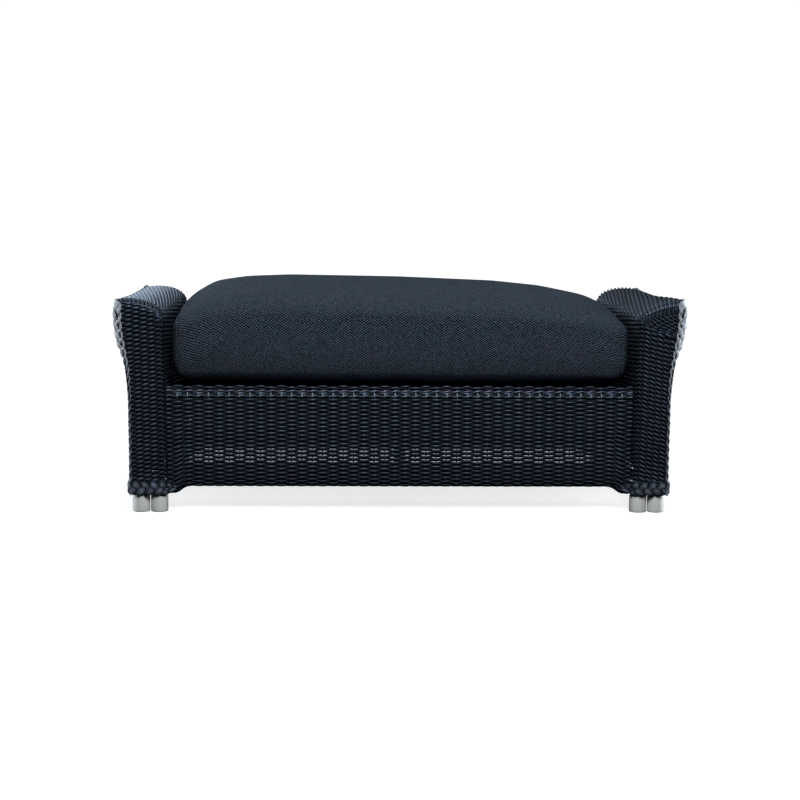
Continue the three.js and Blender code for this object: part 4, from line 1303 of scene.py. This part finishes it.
# %% [markdown]
# ## Plain finishes
#
# Powder coat, foam and moulded plastic are each a fine grain in two close tones. Webbing and the
# zip's tape show threads that cross, and the zip has two rows of teeth along its middle.

# %% Plain finishes
def grained(name, dark, light, scale, roughness, depth, stretch=(1, 1, 1)):
    """Two close tones in a fine grain over soft clouds, with the grain as a bump too."""
    made, tree, surface = start_material(name, roughness, 0.4)
    place = own_place(tree)
    grain = noise(tree, vector_node(tree, "MULTIPLY", place, stretch), scale, 3.0)
    clouds = times(tree, noise(tree, place, 25.0), 0.4)
    tone = plus(tree, times(tree, grain, 0.6), clouds)
    link(tree, blend_colours(tree, tone, dark, light), surface.inputs["Base Color"])
    rough = plus(tree, times(tree, grain, 0.2), roughness - 0.1)
    link(tree, rough, surface.inputs["Roughness"])
    bump(tree, surface, grain, 0.4, depth)
    return made


def stripes(tree, where, pitch):
    """A cosine along one coordinate, from 0 to 1."""
    wave = math_node(tree, "COSINE", times(tree, where, 2 * math.pi / pitch))
    return plus(tree, times(tree, wave, 0.5), 0.5)


def crossing_threads(tree, parts, pitch_x, pitch_other):
    other = plus(tree, parts["Y"], parts["Z"])
    return times(tree, stripes(tree, parts["X"], pitch_x), stripes(tree, other, pitch_other))


def webbing_material():
    made, tree, surface = start_material("webbing", 0.85, 0.2)
    threads = crossing_threads(tree, split(tree, own_place(tree)), WEBBING_PITCH, WEBBING_PITCH)
    colour = blend_colours(tree, threads, srgb(10, 10, 11), srgb(42, 42, 45))
    link(tree, colour, surface.inputs["Base Color"])
    bump(tree, surface, threads, 0.6, 0.0004)
    return made


def zip_rows_material(level):
    """Tape with a double row of teeth along its middle; the two rows interlock."""
    made, tree, surface = start_material("zip_tape", 0.8, 0.2)
    parts = split(tree, own_place(tree))
    threads = crossing_threads(tree, parts, *TAPE_PITCH)
    tape = blend_colours(tree, threads, srgb(13, 15, 19), srgb(40, 45, 55))
    above = minus(tree, parts["Z"], level)
    shift = times(tree, math_node(tree, "GREATER_THAN", above, 0.0), TOOTH_PITCH / 2)
    wave = stripes(tree, plus(tree, parts["X"], shift), TOOTH_PITCH)
    tooth = math_node(tree, "GREATER_THAN", wave, 0.42)
    teeth = blend_colours(tree, tooth, srgb(8, 9, 11), srgb(74, 80, 92))
    in_chain = math_node(tree, "LESS_THAN", math_node(tree, "ABSOLUTE", above), CHAIN_HALF)
    link(tree, blend_colours(tree, in_chain, tape, teeth), surface.inputs["Base Color"])
    rise = times(tree, times(tree, tooth, in_chain), 2.0)
    bump(tree, surface, plus(tree, threads, rise), 0.6, 0.0004)
    return made


WEBBING_PITCH, TAPE_PITCH = 0.0024, (0.0011, 0.0009)
TOOTH_PITCH, CHAIN_HALF = 0.0030, 0.0030
chain_low, chain_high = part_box("zip_chain")
foot_dark, foot_light = srgb(234, 232, 225), srgb(246, 244, 237)
foot_plastic = grained("foot_plastic", foot_dark, foot_light, 260.0, 0.40, 0.00005, (1, 1, 0.25))
powder_coat = grained("powder_coat", srgb(20, 23, 29), srgb(38, 43, 53), 900.0, 0.48, 0.00008)
foam = grained("foam", srgb(196, 188, 164), srgb(226, 218, 198), 700.0, 0.92, 0.0004)
zip_plastic = grained("zip_plastic", srgb(26, 29, 36), srgb(48, 53, 63), 500.0, 0.42, 0.00005)
webbing = webbing_material()
zip_rows = zip_rows_material((chain_low.z + chain_high.z) / 2)
print("finishes:", [made.name for made in bpy.data.materials if made.users == 0])

# %% [markdown]
# ## Feet
#
# Each foot is a moulded cap of pale plastic pushed over the end of a leg: a plain round form with
# a softly rounded rim at the floor and a small one at the top.

# %% Feet
FOOT_SPREAD = 0.0016
RIM_ROUND = 0.0022

for name in [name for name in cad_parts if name.endswith("_foot")]:
    low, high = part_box(name)
    middle = ((low.x + high.x) / 2, (low.y + high.y) / 2, (low.z + high.z) / 2)
    bpy.ops.object.select_all(action="DESELECT")
    bpy.ops.mesh.primitive_cylinder_add(
        vertices=64, radius=(high.x - low.x) / 2 + FOOT_SPREAD, depth=high.z - low.z, location=middle
    )
    foot = bpy.context.object
    foot.name = f"{name}_cap"
    bpy.ops.object.transform_apply(location=True, rotation=True, scale=True)
    rim = foot.modifiers.new("rims", "BEVEL")
    rim.width = RIM_ROUND
    rim.segments = 5
    rim.limit_method = "ANGLE"
    bpy.ops.object.modifier_apply(modifier=rim.name)
    bpy.ops.object.shade_smooth_by_angle(angle=math.radians(40))
    foot.data.materials.append(foot_plastic)
    dress(foot, "frame", "foot", name)

# %% [markdown]
# ## Pieces kept as they are
#
# The tubes, straps and zip keep the form of their solids and only get a finish. The foam core's
# copy stands for its solid.

# %% Finishes of the carried pieces
DRESSED = ("_foot", "braid", "wrap", "panel", "cushion_cover")
CARRIED = (("strap", webbing), ("zip_chain", zip_rows), ("zip", zip_plastic), ("foam", foam), ("", powder_coat))

core.data.materials.clear()
core.data.materials.append(foam)
dress(core, "cushion", "foam", "cushion_foam_core")

for name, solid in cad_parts.items():
    if not any(part in name for part in DRESSED):
        solid.data.materials.clear()
        solid.data.materials.append(next(finish for part, finish in CARRIED if part in name))
